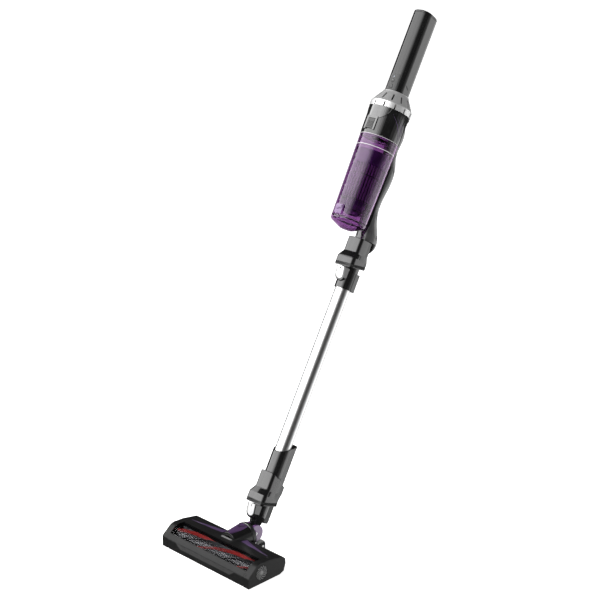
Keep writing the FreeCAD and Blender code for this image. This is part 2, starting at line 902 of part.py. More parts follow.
SOLE_TOP = 3.2
SHELL_HALF = D.head_half - D.cap_width - 0.5
MOTOR_Z = D.brush_z


def head_profile(bottom=1.2, heel=20.0):
    """The side outline of the head in Y and Z; a round brow runs over the brush."""
    return [
        (-D.head_front, bottom),
        (-D.head_front, 20),
        (-53, 23.5),
        (-39, 34.7),
        (-20, 39.3, -D.window_radius),
        (-5, 38.9),
        (29, 32.3),
        (D.head_back, 28),
        (34.8, 18),
        (30, 5),
        (heel, bottom),
    ]


def hood_cone(growth):
    return cone(growth + 19.5, growth + 23.7, 4, 43, "y", z=D.pivot_z)


def window_zone(margin=0):
    """The part of the outline that the clear window takes up."""
    return [
        (-50.5 - margin, 31.8 - margin),
        (-43.5 - margin, 24.5 - margin),
        (-25, 18.3),
        (-14 + margin, 30),
        (-14 + margin, 45),
        (-45, 45),
    ]


def roller_rooms():
    return [box(s * 66 - 6.5, s * 66 + 6.5, -53.5, -45.4, -1, 7.6) for s in (-1, 1)]


def bumper_outline(margin):
    return [
        (-77 - margin, 19.4 + margin),
        (-66 - margin, 11.5 - margin),
        (66 + margin, 11.5 - margin),
        (77 + margin, 19.4 + margin),
    ]


SCREW_PLACES = ((-92, 16), (92, 16), (-92, -50), (92, -50))


def screw(x, y):
    return fuse(rod(2.6, 1.2, 2.2, x=x, y=y), rod(1.2, 2.1, 6.4, x=x, y=y))


def floor_head():
    half = SHELL_HALF
    bay = [(-3, 4.4), (26, 4.4), (30.5, 18), (29, 28.5), (-3, 35)]
    body = cut(
        prism(head_profile(SOLE_TOP, 25.3), -half, half),
        prism(window_zone(), -half - 1, half + 1),
        rod(D.chamber_radius, -98.5, 98.5, "x", y=D.brush_y, z=D.brush_z),
        prism(bay, -98.5, -28),
        prism(bay, 28, 98.5),
        rod(11, -12, 6, "y", z=20),
        hood_cone(0),
        padded("XZ_Plane", bumper_outline(0.1), 53.6, 56),
        *roller_rooms(),
        *[rod(1.2, s * 66 - 8, s * 66 + 8, "x", y=D.roller_y, z=D.roller_radius) for s in (-1, 1)],
        *[rod(8, s * 99.75 - 1.5, s * 99.75 + 1.5, "x", y=D.brush_y, z=D.brush_z) for s in (-1, 1)],
        rod(3, -110, -95, "x", y=D.belt_motor_y, z=MOTOR_Z),
        *[screw(x, y) for x, y in SCREW_PLACES],
    )
    arms = [box(s * 28.9 - 1.5, s * 28.9 + 1.5, 24, 66, 3.2, 15) for s in (-1, 1)]
    axle_room = rod(2, -40, 40, "x", y=D.wheel_y, z=D.wheel_radius)
    node("head_shell", HEAD, cut(fuse(body, *arms), axle_room))

    window = cut(
        common(prism(head_profile(), -half, half), prism(window_zone(), -half, half)),
        rod(D.chamber_radius + 0.2, -110, 110, "x", y=D.brush_y, z=D.brush_z),
        prism([(-45.75, 26.74), (-37.75, 33.14), (-25, 18.3), (-45, 20)], -110, 110),
    )
    node("brush_window", HEAD, window)
    node("front_bumper", HEAD, padded("XZ_Plane", bumper_outline(0), 53.6, 55))

    sole = cut(
        slab(rounded(half, 54.6, 22, 4), D.sole_height, SOLE_TOP),
        box(-98.3, 98.3, -37.5, -12.5, 0, 5),
        *roller_rooms(),
        *[rod(1.2, s * 66 - 8, s * 66 + 8, "x", y=D.roller_y, z=D.roller_radius) for s in (-1, 1)],
        *[screw(x, y) for x, y in SCREW_PLACES],
    )
    node("sole_plate", HEAD, sole)
    node("sole_screws", HEAD, *[screw(x, y) for x, y in SCREW_PLACES])
    node("glide_strip", HEAD, slab(rounded(60, -6, 14, 3.9), 0, D.sole_height))


def spoke_x(angle, face):
    """A slot of a vent that is a ring of slots in an end cap."""
    block = doc.addObject("Part::Box", "slot")
    block.Length, block.Width, block.Height = 4, 3.4, 1.4
    turn = Rotation(Vector(1, 0, 0), angle)
    corner = turn.multVec(Vector(0, 3.2, -0.7))
    place(block, face - 3, corner.y - 22, corner.z + 21.5, turn)
    return block


def end_caps():
    inner = [
        (-50, 4.2),
        (-50, 19),
        (-38.3, 31.3),
        (-20, 36.8),
        (-5, 36.4),
        (27, 30.2),
        (31, 26),
        (31.5, 18),
        (27.5, 7.2),
        (19, 4.2),
    ]
    for name, side, face in (("left_end_cap", -1, SHELL_HALF), ("right_end_cap", 1, SHELL_HALF + 0.35)):
        low, high = sorted((side * face, side * D.head_half), key=number)
        pocket_low, pocket_high = sorted((side * (face - 2), side * (D.head_half - 2.4)), key=number)
        cap = cut(
            prism(head_profile(), low, high),
            prism(inner, pocket_low, pocket_high),
        )
        if side > 0:
            cap = cut(cap, *[spoke_x(angle, D.head_half) for angle in range(0, 360, 30)])
        node(name, HEAD, cap)


def hood():
    z = D.pivot_z
    shell = cut(
        hood_cone(0),
        rod(D.sleeve_radius + 0.08, 18, 50, "y", z=z),
        rod(13, 0, 20, "y", z=z),
    )
    node("swivel_hood", HEAD, shell)


def running_gear():
    axles = []
    for s in (-1, 1):
        low, high = sorted((s * 18.6, s * 30.4))
        cap_low, cap_high = sorted((s * 17.6, s * 18.6))
        axles.append(fuse(
            rod(2, low, high, "x", y=D.wheel_y, z=D.wheel_radius),
            rod(3.2, cap_low, cap_high, "x", y=D.wheel_y, z=D.wheel_radius),
        ))
        axles.append(rod(1.2, s * 66 - 8, s * 66 + 8, "x", y=D.roller_y, z=D.roller_radius))
    node("wheel_axles", HEAD, *axles)
    for side, s in (("left", -1), ("right", 1)):
        low, high = s * 23 - 4, s * 23 + 4
        tread = tube(D.wheel_radius, 2.06, low, high, "x", y=D.wheel_y, z=D.wheel_radius)
        dish = tube(7, 3.6, s * 23 + (3.2 if s > 0 else -5), s * 23 + (5 if s > 0 else -3.2), "x",
                    y=D.wheel_y, z=D.wheel_radius)
        node(f"rear_wheel_{side}", HEAD, cut(tread, dish))
    node("front_rollers", HEAD, *[
        tube(D.roller_radius, 1.25, s * 66 - 6, s * 66 + 6, "x", y=D.roller_y, z=D.roller_radius)
        for s in (-1, 1)
    ])


# ---------------------------------------------------------------- brush and its drive

HELIX_PITCH = 312.0
BRUSH_HALF = 97.0


def helical_fin(start_angle, width, inner, outer):
    """A fin wound along the brush, centred on the brush axis, drawn along X."""
    stations = 13
    wires = []
    for i in range(stations):
        x = -BRUSH_HALF + 2 * BRUSH_HALF * i / (stations - 1)
        angle = math.radians(start_angle) - 2 * math.pi * (x + BRUSH_HALF) / HELIX_PITCH
        radial = Vector(0, math.cos(angle), math.sin(angle))
        across = Vector(0, -math.sin(angle), math.cos(angle)) * (width / 2)
        centre = Vector(x, D.brush_y.number, D.brush_z.number)
        corners = [
            centre + radial * inner - across,
            centre + radial * outer - across,
            centre + radial * outer + across,
            centre + radial * inner + across,
        ]
        wires.append(Part.makePolygon(corners + corners[:1]))
    return solid(Part.makeLoft(wires, True, True))


def brush():
    y, z = D.brush_y, D.brush_z
    rows = 3
    core = fuse(
        rod(D.core_radius, -BRUSH_HALF, BRUSH_HALF, "x", y=y, z=z),
        rod(4, -107.4, 100.8, "x", y=y, z=z),
    )
    node("brush_core", HEAD, core)
    reach = D.bristle_radius.number
    for name, offset, width, outer in (("brush_bristles", 0, 3.4, reach), ("brush_fins", 60, 1.6, reach - 0.6)):
        fins = []
        for i in range(rows):
            fin = helical_fin(offset + 360 / rows * i, width, 10, outer)
            fins.append(cut(fin, rod(D.core_radius, -120, 120, "x", y=y, z=z)))
        node(name, HEAD, *fins)
    node("brush_bearings", HEAD, *[
        tube(8, 4.05, s * 99.75 - 1.25, s * 99.75 + 1.25, "x", y=y, z=z) for s in (-1, 1)
    ])
    node("brush_pulley", HEAD, tube(11, 4, -107, -102.2, "x", y=y, z=z))


def belt_form(growth, low, high):
    """The space inside a belt over both pulleys, grown by growth."""
    big, small = 11.3 + growth, 4.7 + growth
    y, z, far = D.brush_y.number, D.brush_z.number, D.belt_motor_y.number
    slope = math.asin((big - small) / (far - y))
    sides = [
        (y + big * math.sin(slope), z + big * math.cos(slope)),
        (y + big * math.sin(slope), z - big * math.cos(slope)),
        (far + small * math.sin(slope), z - small * math.cos(slope)),
        (far + small * math.sin(slope), z + small * math.cos(slope)),
    ]
    return fuse(
        rod(big, low, high, "x", y=y, z=z),
        rod(small, low, high, "x", y=far, z=z),
        prism(sides, low, high),
    )


def brush_drive():
    y, z = D.belt_motor_y, MOTOR_Z
    node("brush_motor", HEAD, cut(rod(11.5, -92, -45, "x", y=y, z=z), rod(1.55, -93, -50, "x", y=y, z=z)))
    node("motor_spindle", HEAD, rod(1.5, -107, -60, "x", y=y, z=z))
    node("motor_pulley", HEAD, tube(4.4, 1.5, -106.9, -102.4, "x", y=y, z=z))
    node("drive_belt", HEAD, cut(belt_form(1.3, -106.6, -102.6), belt_form(0, -110, -100)))


for build in (
    handle, handle_inside, exhaust_ring, motor_unit, dust_bin, bin_lid, air_duct, collars, wand,
    releases, neck, elbow, floor_head, end_caps, hood, running_gear, brush, brush_drive,
):
    build()
doc.recompute()

failed = [f"{o.Name} ({o.Label})" for o in doc.Objects if {"Invalid", "Error"} & set(o.State)]
if failed:
    raise RuntimeError("failed features: " + ", ".join(failed))
for name, part in nodes.items():
    if part.Shape.isNull() or not part.Shape.isValid():
        raise RuntimeError(f"{name} has no valid shape")

os.makedirs("parts", exist_ok=True)
for name, part in nodes.items():
    part.Shape.exportStep(f"parts/{name}.step")
    solids = len(part.Shape.Solids)
    box_at = part.Shape.BoundBox
    print(f"{name:24s} solids {solids:2d}  volume {part.Shape.Volume:10.1f}  "
          f"z {box_at.ZMin:8.1f} {box_at.ZMax:8.1f}")
print(len(nodes), "nodes")
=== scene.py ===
"""Looks of a cordless stick vacuum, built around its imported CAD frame.

Sizes are millimetres in three working frames that are read off the CAD joints: WAND and UNIT run
up the stick (+Z) from the height of the elbow's pivot, with +Y towards the user, and HEAD is level
with its Z = 0 on the floor.
"""

import json
import math
import random

import bmesh
import bpy
from mathutils import Matrix, Vector


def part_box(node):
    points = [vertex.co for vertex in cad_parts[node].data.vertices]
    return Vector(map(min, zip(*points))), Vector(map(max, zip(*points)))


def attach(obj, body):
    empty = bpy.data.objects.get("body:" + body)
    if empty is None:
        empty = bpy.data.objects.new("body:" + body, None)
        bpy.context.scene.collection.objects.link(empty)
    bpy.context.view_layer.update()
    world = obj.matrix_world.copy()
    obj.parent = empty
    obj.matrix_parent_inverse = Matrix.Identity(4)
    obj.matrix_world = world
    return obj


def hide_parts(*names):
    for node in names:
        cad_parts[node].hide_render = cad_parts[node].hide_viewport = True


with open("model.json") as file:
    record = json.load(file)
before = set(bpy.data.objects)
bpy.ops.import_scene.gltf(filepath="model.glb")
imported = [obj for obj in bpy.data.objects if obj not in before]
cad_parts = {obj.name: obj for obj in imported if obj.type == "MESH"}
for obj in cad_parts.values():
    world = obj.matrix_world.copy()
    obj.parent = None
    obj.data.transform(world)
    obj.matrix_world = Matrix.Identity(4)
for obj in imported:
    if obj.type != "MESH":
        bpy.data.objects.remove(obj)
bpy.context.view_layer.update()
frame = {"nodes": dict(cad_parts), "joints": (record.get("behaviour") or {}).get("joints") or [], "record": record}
NODES = frame["nodes"]
JOINTS = {joint["name"]: joint for joint in frame["joints"]}
SLOT_OF = {part["node"]: part["material_slot"] for part in frame["record"]["subparts"]}
MM = 0.001

# ---------------------------------------------------------------- working frames

up = Vector(JOINTS["fan_spin"]["axis"]).normalized()
side = Vector((1, 0, 0))
back = up.cross(side)
pitch_pivot = Vector(JOINTS["neck_pitch"]["pos_m"])
unit_offset = (Vector(JOINTS["fan_spin"]["pos_m"]) - pitch_pivot).dot(back)
HEAD_FRONT = 55.0
front_of_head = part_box("left_end_cap")[0].y
floor_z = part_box("glide_strip")[0].z


def axes_at(origin, x, y, z):
    turn = Matrix((x, y, z)).transposed().to_4x4()
    return Matrix.Translation(origin) @ turn @ Matrix.Scale(MM, 4)


WAND = axes_at(pitch_pivot, side, back, up)
UNIT = axes_at(pitch_pivot + back * unit_offset, side, back, up)
HEAD = axes_at(
    Vector((0, front_of_head + HEAD_FRONT * MM, floor_z)),
    side, Vector((0, 1, 0)), Vector((0, 0, 1)),
)

# ---------------------------------------------------------------- material tools

MATERIALS = {}


def new_material(name):
    material = bpy.data.materials.new(name)
    MATERIALS[name] = material
    material.use_nodes = True
    nodes, links = material.node_tree.nodes, material.node_tree.links
    return nodes, links, nodes["Principled BSDF"]


def object_coords(nodes, links, scale):
    """Object coordinates, which are metres in the row frame, times a scale per axis."""
    source = nodes.new("ShaderNodeTexCoord")
    mapping = nodes.new("ShaderNodeMapping")
    mapping.inputs["Scale"].default_value = scale
    links.new(source.outputs["Object"], mapping.inputs["Vector"])
    return mapping.outputs["Vector"]


def noise(nodes, links, coords, scale, detail=3.0, rough=0.5):
    texture = nodes.new("ShaderNodeTexNoise")
    texture.inputs["Scale"].default_value = scale
    texture.inputs["Detail"].default_value = detail
    texture.inputs["Roughness"].default_value = rough
    links.new(coords, texture.inputs["Vector"])
    return texture.outputs["Fac"]


def ramp(nodes, links, value, stops):
    colours = nodes.new("ShaderNodeValToRGB")
    while len(colours.color_ramp.elements) < len(stops):
        colours.color_ramp.elements.new(0.5)
    for element, (place, colour) in zip(colours.color_ramp.elements, stops):
        element.position = place
        element.color = (*colour, 1)
    links.new(value, colours.inputs["Fac"])
    return colours.outputs["Color"]


def grey(value):
    return (value, value, value)


def spread(nodes, links, value, low, high):
    """Maps 0..1 to low..high."""
    scaled = nodes.new("ShaderNodeMapRange")
    scaled.inputs["To Min"].default_value = low
    scaled.inputs["To Max"].default_value = high
    links.new(value, scaled.inputs["Value"])
    return scaled.outputs["Result"]


def bump(nodes, links, shader, height, strength, distance):
    node = nodes.new("ShaderNodeBump")
    node.inputs["Strength"].default_value = strength
    node.inputs["Distance"].default_value = distance
    links.new(height, node.inputs["Height"])
    links.new(node.outputs["Normal"], shader.inputs["Normal"])


def moulded(name, dark, light, rough, grain_scale, grain, coat=0.0, ior=1.5):
    """Moulded plastic: slightly mottled colour, uneven gloss and a fine grain."""
    nodes, links, shader = new_material(name)
    coords = object_coords(nodes, links, (1, 1, 1))
    clouds = noise(nodes, links, coords, 60, 4)
    links.new(ramp(nodes, links, clouds, [(0.3, dark), (0.7, light)]), shader.inputs["Base Color"])
    smears = noise(nodes, links, coords, 35, 6, 0.65)
    links.new(spread(nodes, links, smears, rough[0], rough[1]), shader.inputs["Roughness"])
    bump(nodes, links, shader, noise(nodes, links, coords, grain_scale, 2), grain, 0.0002)
    shader.inputs["Coat Weight"].default_value = coat
    shader.inputs["Coat Roughness"].default_value = 0.03
    shader.inputs["IOR"].default_value = ior
    return shader


def satin_paint():
    """Silver paint: part metallic, with a fine even grain."""
    shader = moulded("silver_satin", grey(0.56), grey(0.62), (0.33, 0.4), 3200, 0.05)
    shader.inputs["Metallic"].default_value = 0.65


def metal(name, dark, light, rough, stretch, scratch):
    """Metal with a grain drawn out along one axis of the row frame."""
    nodes, links, shader = new_material(name)
    coords = object_coords(nodes, links, stretch)
    lines = noise(nodes, links, coords, 1.0, 8, 0.7)
    links.new(ramp(nodes, links, lines, [(0.3, dark), (0.7, light)]), shader.inputs["Base Color"])
    links.new(spread(nodes, links, lines, rough[0], rough[1]), shader.inputs["Roughness"])
    bump(nodes, links, shader, lines, scratch, 0.0001)
    shader.inputs["Metallic"].default_value = 1.0


def clear(name, tint, rough, ior, streaks):
    """Transparent tinted plastic with faint flow marks; tinted light passes to what is behind it."""
    nodes, links, shader = new_material(name)
    coords = object_coords(nodes, links, (1, 1, 0.25))
    flow = noise(nodes, links, coords, 90, 3)
    deep = tuple(channel * (1 - streaks * 2) for channel in tint)
    links.new(ramp(nodes, links, flow, [(0.35, deep), (0.65, tint)]), shader.inputs["Base Color"])
    links.new(spread(nodes, links, flow, rough, rough * 1.8), shader.inputs["Roughness"])
    bump(nodes, links, shader, flow, 0.02, 0.0002)
    shader.inputs["Transmission Weight"].default_value = 1.0
    shader.inputs["IOR"].default_value = ior
    rays = nodes.new("ShaderNodeLightPath")
    open_glass = nodes.new("ShaderNodeBsdfTransparent")
    open_glass.inputs["Color"].default_value = (*tint, 1)
    choice = nodes.new("ShaderNodeMixShader")
    links.new(rays.outputs["Is Shadow Ray"], choice.inputs["Fac"])
    links.new(shader.outputs["BSDF"], choice.inputs[1])
    links.new(open_glass.outputs["BSDF"], choice.inputs[2])
    links.new(choice.outputs["Shader"], nodes["Material Output"].inputs["Surface"])


def honeycomb():
    """Muted purple film with a fine printed cell pattern."""
    nodes, links, shader = new_material("purple_band")
    coords = object_coords(nodes, links, (1, 1, 0.6))
    cells = nodes.new("ShaderNodeTexVoronoi")
    cells.feature = "DISTANCE_TO_EDGE"
    cells.inputs["Scale"].default_value = 520
    cells.inputs["Randomness"].default_value = 0.12
    links.new(coords, cells.inputs["Vector"])
    film = ramp(
        nodes, links, cells.outputs["Distance"],
        [(0.02, (0.022, 0.012, 0.03)), (0.12, (0.085, 0.042, 0.12)), (0.6, (0.12, 0.065, 0.165))],
    )
    links.new(film, shader.inputs["Base Color"])
    shader.inputs["Metallic"].default_value = 0.35
    shader.inputs["Roughness"].default_value = 0.32
    bump(nodes, links, shader, cells.outputs["Distance"], 0.3, 0.0003)


def bristle_fibre():
    """Red nylon whose tufts differ a little in shade."""
    nodes, links, shader = new_material("bristle_red")
    coords = object_coords(nodes, links, (1, 1, 1))
    tufts = noise(nodes, links, coords, 900, 2)
    shades = [(0.3, (0.3, 0.01, 0.01)), (0.55, (0.62, 0.025, 0.02)), (0.8, (0.8, 0.08, 0.05))]
    links.new(ramp(nodes, links, tufts, shades), shader.inputs["Base Color"])
    shader.inputs["Roughness"].default_value = 0.55
    shader.inputs["Sheen Weight"].default_value = 0.3
    bump(nodes, links, shader, tufts, 0.4, 0.0002)


def fleece():
    """Off-white filter fleece."""
    nodes, links, shader = new_material("filter_white")
    coords = object_coords(nodes, links, (1, 1, 1))
    fibres = noise(nodes, links, coords, 700, 6, 0.7)
    links.new(
        ramp(nodes, links, fibres, [(0.3, (0.42, 0.4, 0.38)), (0.7, (0.72, 0.7, 0.66))]),
        shader.inputs["Base Color"],
    )
    shader.inputs["Roughness"].default_value = 0.95
    shader.inputs["Sheen Weight"].default_value = 0.4
    bump(nodes, links, shader, fibres, 0.6, 0.0004)


def lamp():
    """The status light's pale lens, unlit."""
    nodes, links, shader = new_material("status_light")
    coords = object_coords(nodes, links, (1, 1, 1))
    glow = noise(nodes, links, coords, 300, 1)
    links.new(
        ramp(nodes, links, glow, [(0.3, (0.2, 0.24, 0.32)), (0.7, (0.3, 0.34, 0.4))]),
        shader.inputs["Base Color"],
    )
    shader.inputs["Roughness"].default_value = 0.15


# moulded plastics: name, two shades, range of roughness, scale and depth of the grain, and for
# some a clear coat and an index of refraction
MOULDED = (
    ("black_gloss", grey(0.0042), grey(0.0065), (0.05, 0.1), 1500, 0.015, 0.35),
    ("black_satin", grey(0.008), grey(0.013), (0.28, 0.4), 2600, 0.12),
    ("spine_gloss", grey(0.045), grey(0.06), (0.16, 0.24), 1500, 0.02, 0.5),
    ("head_charcoal", grey(0.007), grey(0.01), (0.26, 0.36), 3400, 0.12, 0, 1.23),
    ("bumper_grey", grey(0.026), grey(0.036), (0.3, 0.4), 3400, 0.1, 0, 1.36),
    ("white_tab", grey(0.5), grey(0.56), (0.25, 0.35), 2600, 0.05),
    ("brush_grey", grey(0.02), grey(0.03), (0.22, 0.3), 1800, 0.06),
    ("fin_dark", grey(0.012), grey(0.02), (0.5, 0.65), 1500, 0.2),
    ("wheel_grey", grey(0.16), grey(0.22), (0.45, 0.6), 1800, 0.2),
    ("rubber_black", grey(0.01), grey(0.016), (0.55, 0.7), 2000, 0.2),
    ("cell_wrap", (0.02, 0.07, 0.2), (0.03, 0.1, 0.28), (0.2, 0.3), 900, 0.05),
    ("board_green", (0.004, 0.05, 0.02), (0.008, 0.08, 0.03), (0.25, 0.4), 900, 0.1),
    ("purple_clear", (0.085, 0.032, 0.12), (0.13, 0.052, 0.175), (0.1, 0.18), 1500, 0.02, 0.5),
    ("purple_trim", (0.05, 0.028, 0.075), (0.075, 0.042, 0.11), (0.28, 0.38), 2600, 0.06),
    ("purple_inner", (0.22, 0.14, 0.25), (0.3, 0.2, 0.33), (0.3, 0.4), 1800, 0.03),
    # dark_inside also colours the sleeve behind the filter's ribs, where its dark is painted shade
    ("dark_inside", (0.01, 0.006, 0.012), (0.02, 0.012, 0.024), (0.3, 0.4), 900, 0.1),
    ("bright_trim", grey(0.3), grey(0.38), (0.2, 0.3), 1800, 0.03),
    ("vent_grey", grey(0.1), grey(0.13), (0.25, 0.35), 1800, 0.05),
    # the next grey is a painted highlight, for the oblong plate in front of the hood
    ("badge_grey", grey(0.14), grey(0.18), (0.25, 0.35), 1800, 0.03),
    ("seam_line", grey(0.5), grey(0.6), (0.2, 0.3), 1800, 0.03),
    ("mark_grey", grey(0.18), grey(0.25), (0.3, 0.4), 1800, 0.03),
)


def make_materials():
    for row in MOULDED:
        moulded(*row)
    satin_paint()
    clear("bin_clear", (0.4, 0.22, 0.44), 0.02, 1.42, 0.08)
    clear("window_clear", (0.62, 0.62, 0.64), 0.01, 1.1, 0.02)
    metal("aluminium", grey(0.62), grey(0.74), (0.28, 0.36), (900, 120, 60), 0.03)
    metal("steel", grey(0.45), grey(0.6), (0.22, 0.35), (300, 900, 300), 0.05)
    honeycomb()
    bristle_fibre()
    fleece()
    lamp()


make_materials()


# ---------------------------------------------------------------- mesh tools


def finish_mesh(obj, sharp=35.0):
    """Smooth shading that stays crisp at edges sharper than the given angle."""
    mesh = obj.data
    mesh.polygons.foreach_set("use_smooth", [True] * len(mesh.polygons))
    mesh.set_sharp_from_angle(angle=math.radians(sharp))


def settle_normals(obj):
    """Lets large faces decide the shading, so that flat sides reflect like flat sides."""
    modifier = obj.modifiers.new("normals", "WEIGHTED_NORMAL")
    modifier.keep_sharp = True
    modifier.weight = 90
    bpy.context.view_layer.update()
    evaluated = obj.evaluated_get(bpy.context.evaluated_depsgraph_get())
    settled = bpy.data.meshes.new_from_object(evaluated)
    obj.modifiers.clear()
    obj.data = settled


def add_piece(name, mesh, body, material, replaces=(), sharp=35.0):
    obj = bpy.data.objects.new(name, mesh)
    bpy.context.scene.collection.objects.link(obj)
    mesh.materials.clear()
    mesh.materials.append(MATERIALS[material])
    finish_mesh(obj, sharp)
    settle_normals(obj)
    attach(obj, body)
    if replaces:
        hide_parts(*replaces)


MERGE_DISTANCE, WELD_DISTANCE, NO_AREA = 1e-7, 2e-6, 1e-14


def build(name, points, faces, where):
    """A mesh from millimetre points in a working frame, with its normals facing out."""
    mesh = bpy.data.meshes.new(name)
    mesh.from_pydata([where @ Vector(p) for p in points], [], faces)
    solid = bmesh.new()
    solid.from_mesh(mesh)
    bmesh.ops.remove_doubles(solid, verts=solid.verts, dist=MERGE_DISTANCE)
    bmesh.ops.recalc_face_normals(solid, faces=solid.faces)
    solid.to_mesh(mesh)
    solid.free()
    return mesh


def filleted(corners, steps=4):
    """A closed outline whose corners are rounded; a corner is (u, v) or (u, v, radius)."""
    result = []
    count = len(corners)
    for i, corner in enumerate(corners):
        here = Vector(corner[:2])
        radius = corner[2] if len(corner) > 2 else 0
        before = Vector(corners[i - 1][:2]) - here
        after = Vector(corners[(i + 1) % count][:2]) - here
        if radius <= 0 or before.length < 1e-9 or after.length < 1e-9:
            result.append(tuple(here))
            continue
        angle = before.angle(after)
        if angle > math.radians(179):
            result.append(tuple(here))
            continue
        reach = min(radius / math.tan(angle / 2), before.length * 0.49, after.length * 0.49)
        start, end = here + before.normalized() * reach, here + after.normalized() * reach
        for k in range(steps + 1):
            t = k / steps
            result.append(tuple(start * (1 - t) ** 2 + here * 2 * t * (1 - t) + end * t * t))
    return result


def lathe(profile, where, segments=96, centre=(0, 0), axis="z"):
    """Revolves a closed (radius, height) outline about an axis along Z, Y or X."""
    points, faces = [], []
    rows = len(profile)
    for k in range(segments):
        angle = 2 * math.pi * k / segments
        across, along = math.cos(angle), math.sin(angle)
        for radius, height in profile:
            if axis == "z":
                points.append((centre[0] + radius * across, centre[1] + radius * along, height))
            elif axis == "y":
                points.append((centre[0] + radius * across, height, centre[1] + radius * along))
            else:
                points.append((height, centre[0] + radius * across, centre[1] + radius * along))
    for k in range(segments):
        here, there = k * rows, (k + 1) % segments * rows
        for i in range(rows):
            j = (i + 1) % rows
            faces.append((here + i, there + i, there + j, here + j))
    mesh = build("lathe", points, faces, where)
    work = bmesh.new()
    work.from_mesh(mesh)
    flat = [face for face in work.faces if face.calc_area() < NO_AREA]
    bmesh.ops.delete(work, geom=flat, context="FACES_ONLY")
    bmesh.ops.recalc_face_normals(work, faces=work.faces)
    work.to_mesh(mesh)
    work.free()
    return mesh


def skin(rings, where, closed=False):
    """A skin over rings of equally many points; open ends are capped."""
    count = len(rings[0])
    points = [p for ring in rings for p in ring]
    faces = []
    last = len(rings) if closed else len(rings) - 1
    for r in range(last):
        here, there = r * count, (r + 1) % len(rings) * count
        for i in range(count):
            j = (i + 1) % count
            faces.append((here + i, here + j, there + j, there + i))
    if not closed:
        faces.append(tuple(range(count)))
        faces.append(tuple(range((len(rings) - 1) * count, len(rings) * count)))
    return build("skin", points, faces, where)


SIDE_PARTS = 6  # equal parts of each flat side


def rounded_rect(half_x, front, back_y, radius, steps=8):
    """A rounded rectangle, X from -half_x to half_x and Y from -front to back_y."""
    points = []
    corners = [
        (half_x - radius, back_y - radius, 0),
        (radius - half_x, back_y - radius, 90),
        (radius - half_x, radius - front, 180),
        (half_x - radius, radius - front, 270),
    ]
    for i, (x, y, start) in enumerate(corners):
        for k in range(steps + 1):
            angle = math.radians(start + 90 * k / steps)
            points.append((x + radius * math.cos(angle), y + radius * math.sin(angle)))
        next_x, next_y, next_start = corners[(i + 1) % 4]
        angle = math.radians(next_start)
        after = (next_x + radius * math.cos(angle), next_y + radius * math.sin(angle))
        before = points[-1]
        for k in range(1, SIDE_PARTS):
            share = k / SIDE_PARTS
            points.append(tuple(a + (b - a) * share for a, b in zip(before, after)))
    return points


def bowed(section, steps, bow):
    """A rounded rectangle whose sides bulge gently and whose corners are drawn in."""
    half, front, rear, corner = section
    points = []
    for x, y in rounded_rect(half, front, rear, corner, steps):
        reach = front if y < 0 else rear
        points.append((x * (1 - bow / half * (y / reach) ** 2), y * (1 - bow / reach * (x / half) ** 2)))
    return points


def at_height(points, height, slope=0.0):
    """Lays a flat outline at a height, tilted up towards +Y by a slope."""
    return [(x, y, height + slope * y) for x, y in points]


FACET_ANGLE, BEVEL_ANGLE = math.radians(0.6), math.radians(28)


def bevelled_copy(node, width, name=None, material=None, segments=2, cutter=None):
    """A copy of a CAD node with its flat facets merged and its edges rounded, shown in its place."""
    mesh = NODES[node].data.copy()
    work = bmesh.new()
    work.from_mesh(mesh)
    bmesh.ops.remove_doubles(work, verts=work.verts, dist=WELD_DISTANCE)
    bmesh.ops.dissolve_limit(work, angle_limit=FACET_ANGLE, verts=work.verts, edges=work.edges)
    bmesh.ops.recalc_face_normals(work, faces=work.faces)
    work.to_mesh(mesh)
    work.free()
    obj = bpy.data.objects.new(name or f"{node}_shown", mesh)
    bpy.context.scene.collection.objects.link(obj)
    if cutter:
        tool = bpy.data.objects.new("cutter", cutter)
        bpy.context.scene.collection.objects.link(tool)
        hollow = obj.modifiers.new("hollow", "BOOLEAN")
        hollow.object = tool
        hollow.operation = "DIFFERENCE"
        hollow.solver = "EXACT"
    modifier = obj.modifiers.new("edges", "BEVEL")
    modifier.width = width * MM
    modifier.segments = segments
    modifier.limit_method = "ANGLE"
    modifier.angle_limit = BEVEL_ANGLE
    bpy.context.view_layer.update()
    evaluated = obj.evaluated_get(bpy.context.evaluated_depsgraph_get())
    final = bpy.data.meshes.new_from_object(evaluated)
    obj.modifiers.clear()
    obj.data = final
    if cutter:
        bpy.data.objects.remove(tool)
    final.materials.clear()
    final.materials.append(MATERIALS[material or SLOT_OF[node]])
    finish_mesh(obj, 32)
    settle_normals(obj)
    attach(obj, body_of(node))
    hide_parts(node)


def body_of(node):
    """The moving body that a CAD node belongs to."""
    for body, members in frame["record"]["behaviour"]["bodies"].items():
        if node in members:
            return body


def tube_along(points, radius, where, sides=8):
    """A round tube along points, for thin trim lines."""
    rings = []
    for i, here in enumerate(points):
        here = Vector(here)
        ahead = Vector(points[min(i + 1, len(points) - 1)]) - Vector(points[max(i - 1, 0)])
        ahead.normalize()
        first = ahead.orthogonal().normalized() if i == 0 else (first - ahead * first.dot(ahead)).normalized()
        second = ahead.cross(first)
        size = radius if isinstance(radius, (int, float)) else radius[i]
        rings.append([
            tuple(here + (first * math.cos(a) + second * math.sin(a)) * size)
            for a in (2 * math.pi * k / sides for k in range(sides))
        ])
    return skin(rings, where)


# ---------------------------------------------------------------- CAD nodes that stay

for node, obj in NODES.items():
    obj.data.materials.clear()
    obj.data.materials.append(MATERIALS[SLOT_OF[node]])
    finish_mesh(obj)


# ---------------------------------------------------------------- handle

# a section is its half width, its reach to the front and to the back, and its corner radius
GRIP = (20.0, 22.5, 22.5, 17.0)
GRIP_STEPS = 14
SEAM_FRONT, SEAM_BACK = 1001.0, 997.0
END_SLOPE = (SEAM_BACK - SEAM_FRONT) / (GRIP[1] + GRIP[2])


def grip_ring(inward, height):
    """The grip's outline drawn in all round, lying on the slope of its end."""
    half, front, rear, corner = (reach - inward for reach in GRIP)
    return at_height(rounded_rect(half, front, rear, corner, GRIP_STEPS), height, END_SLOPE)


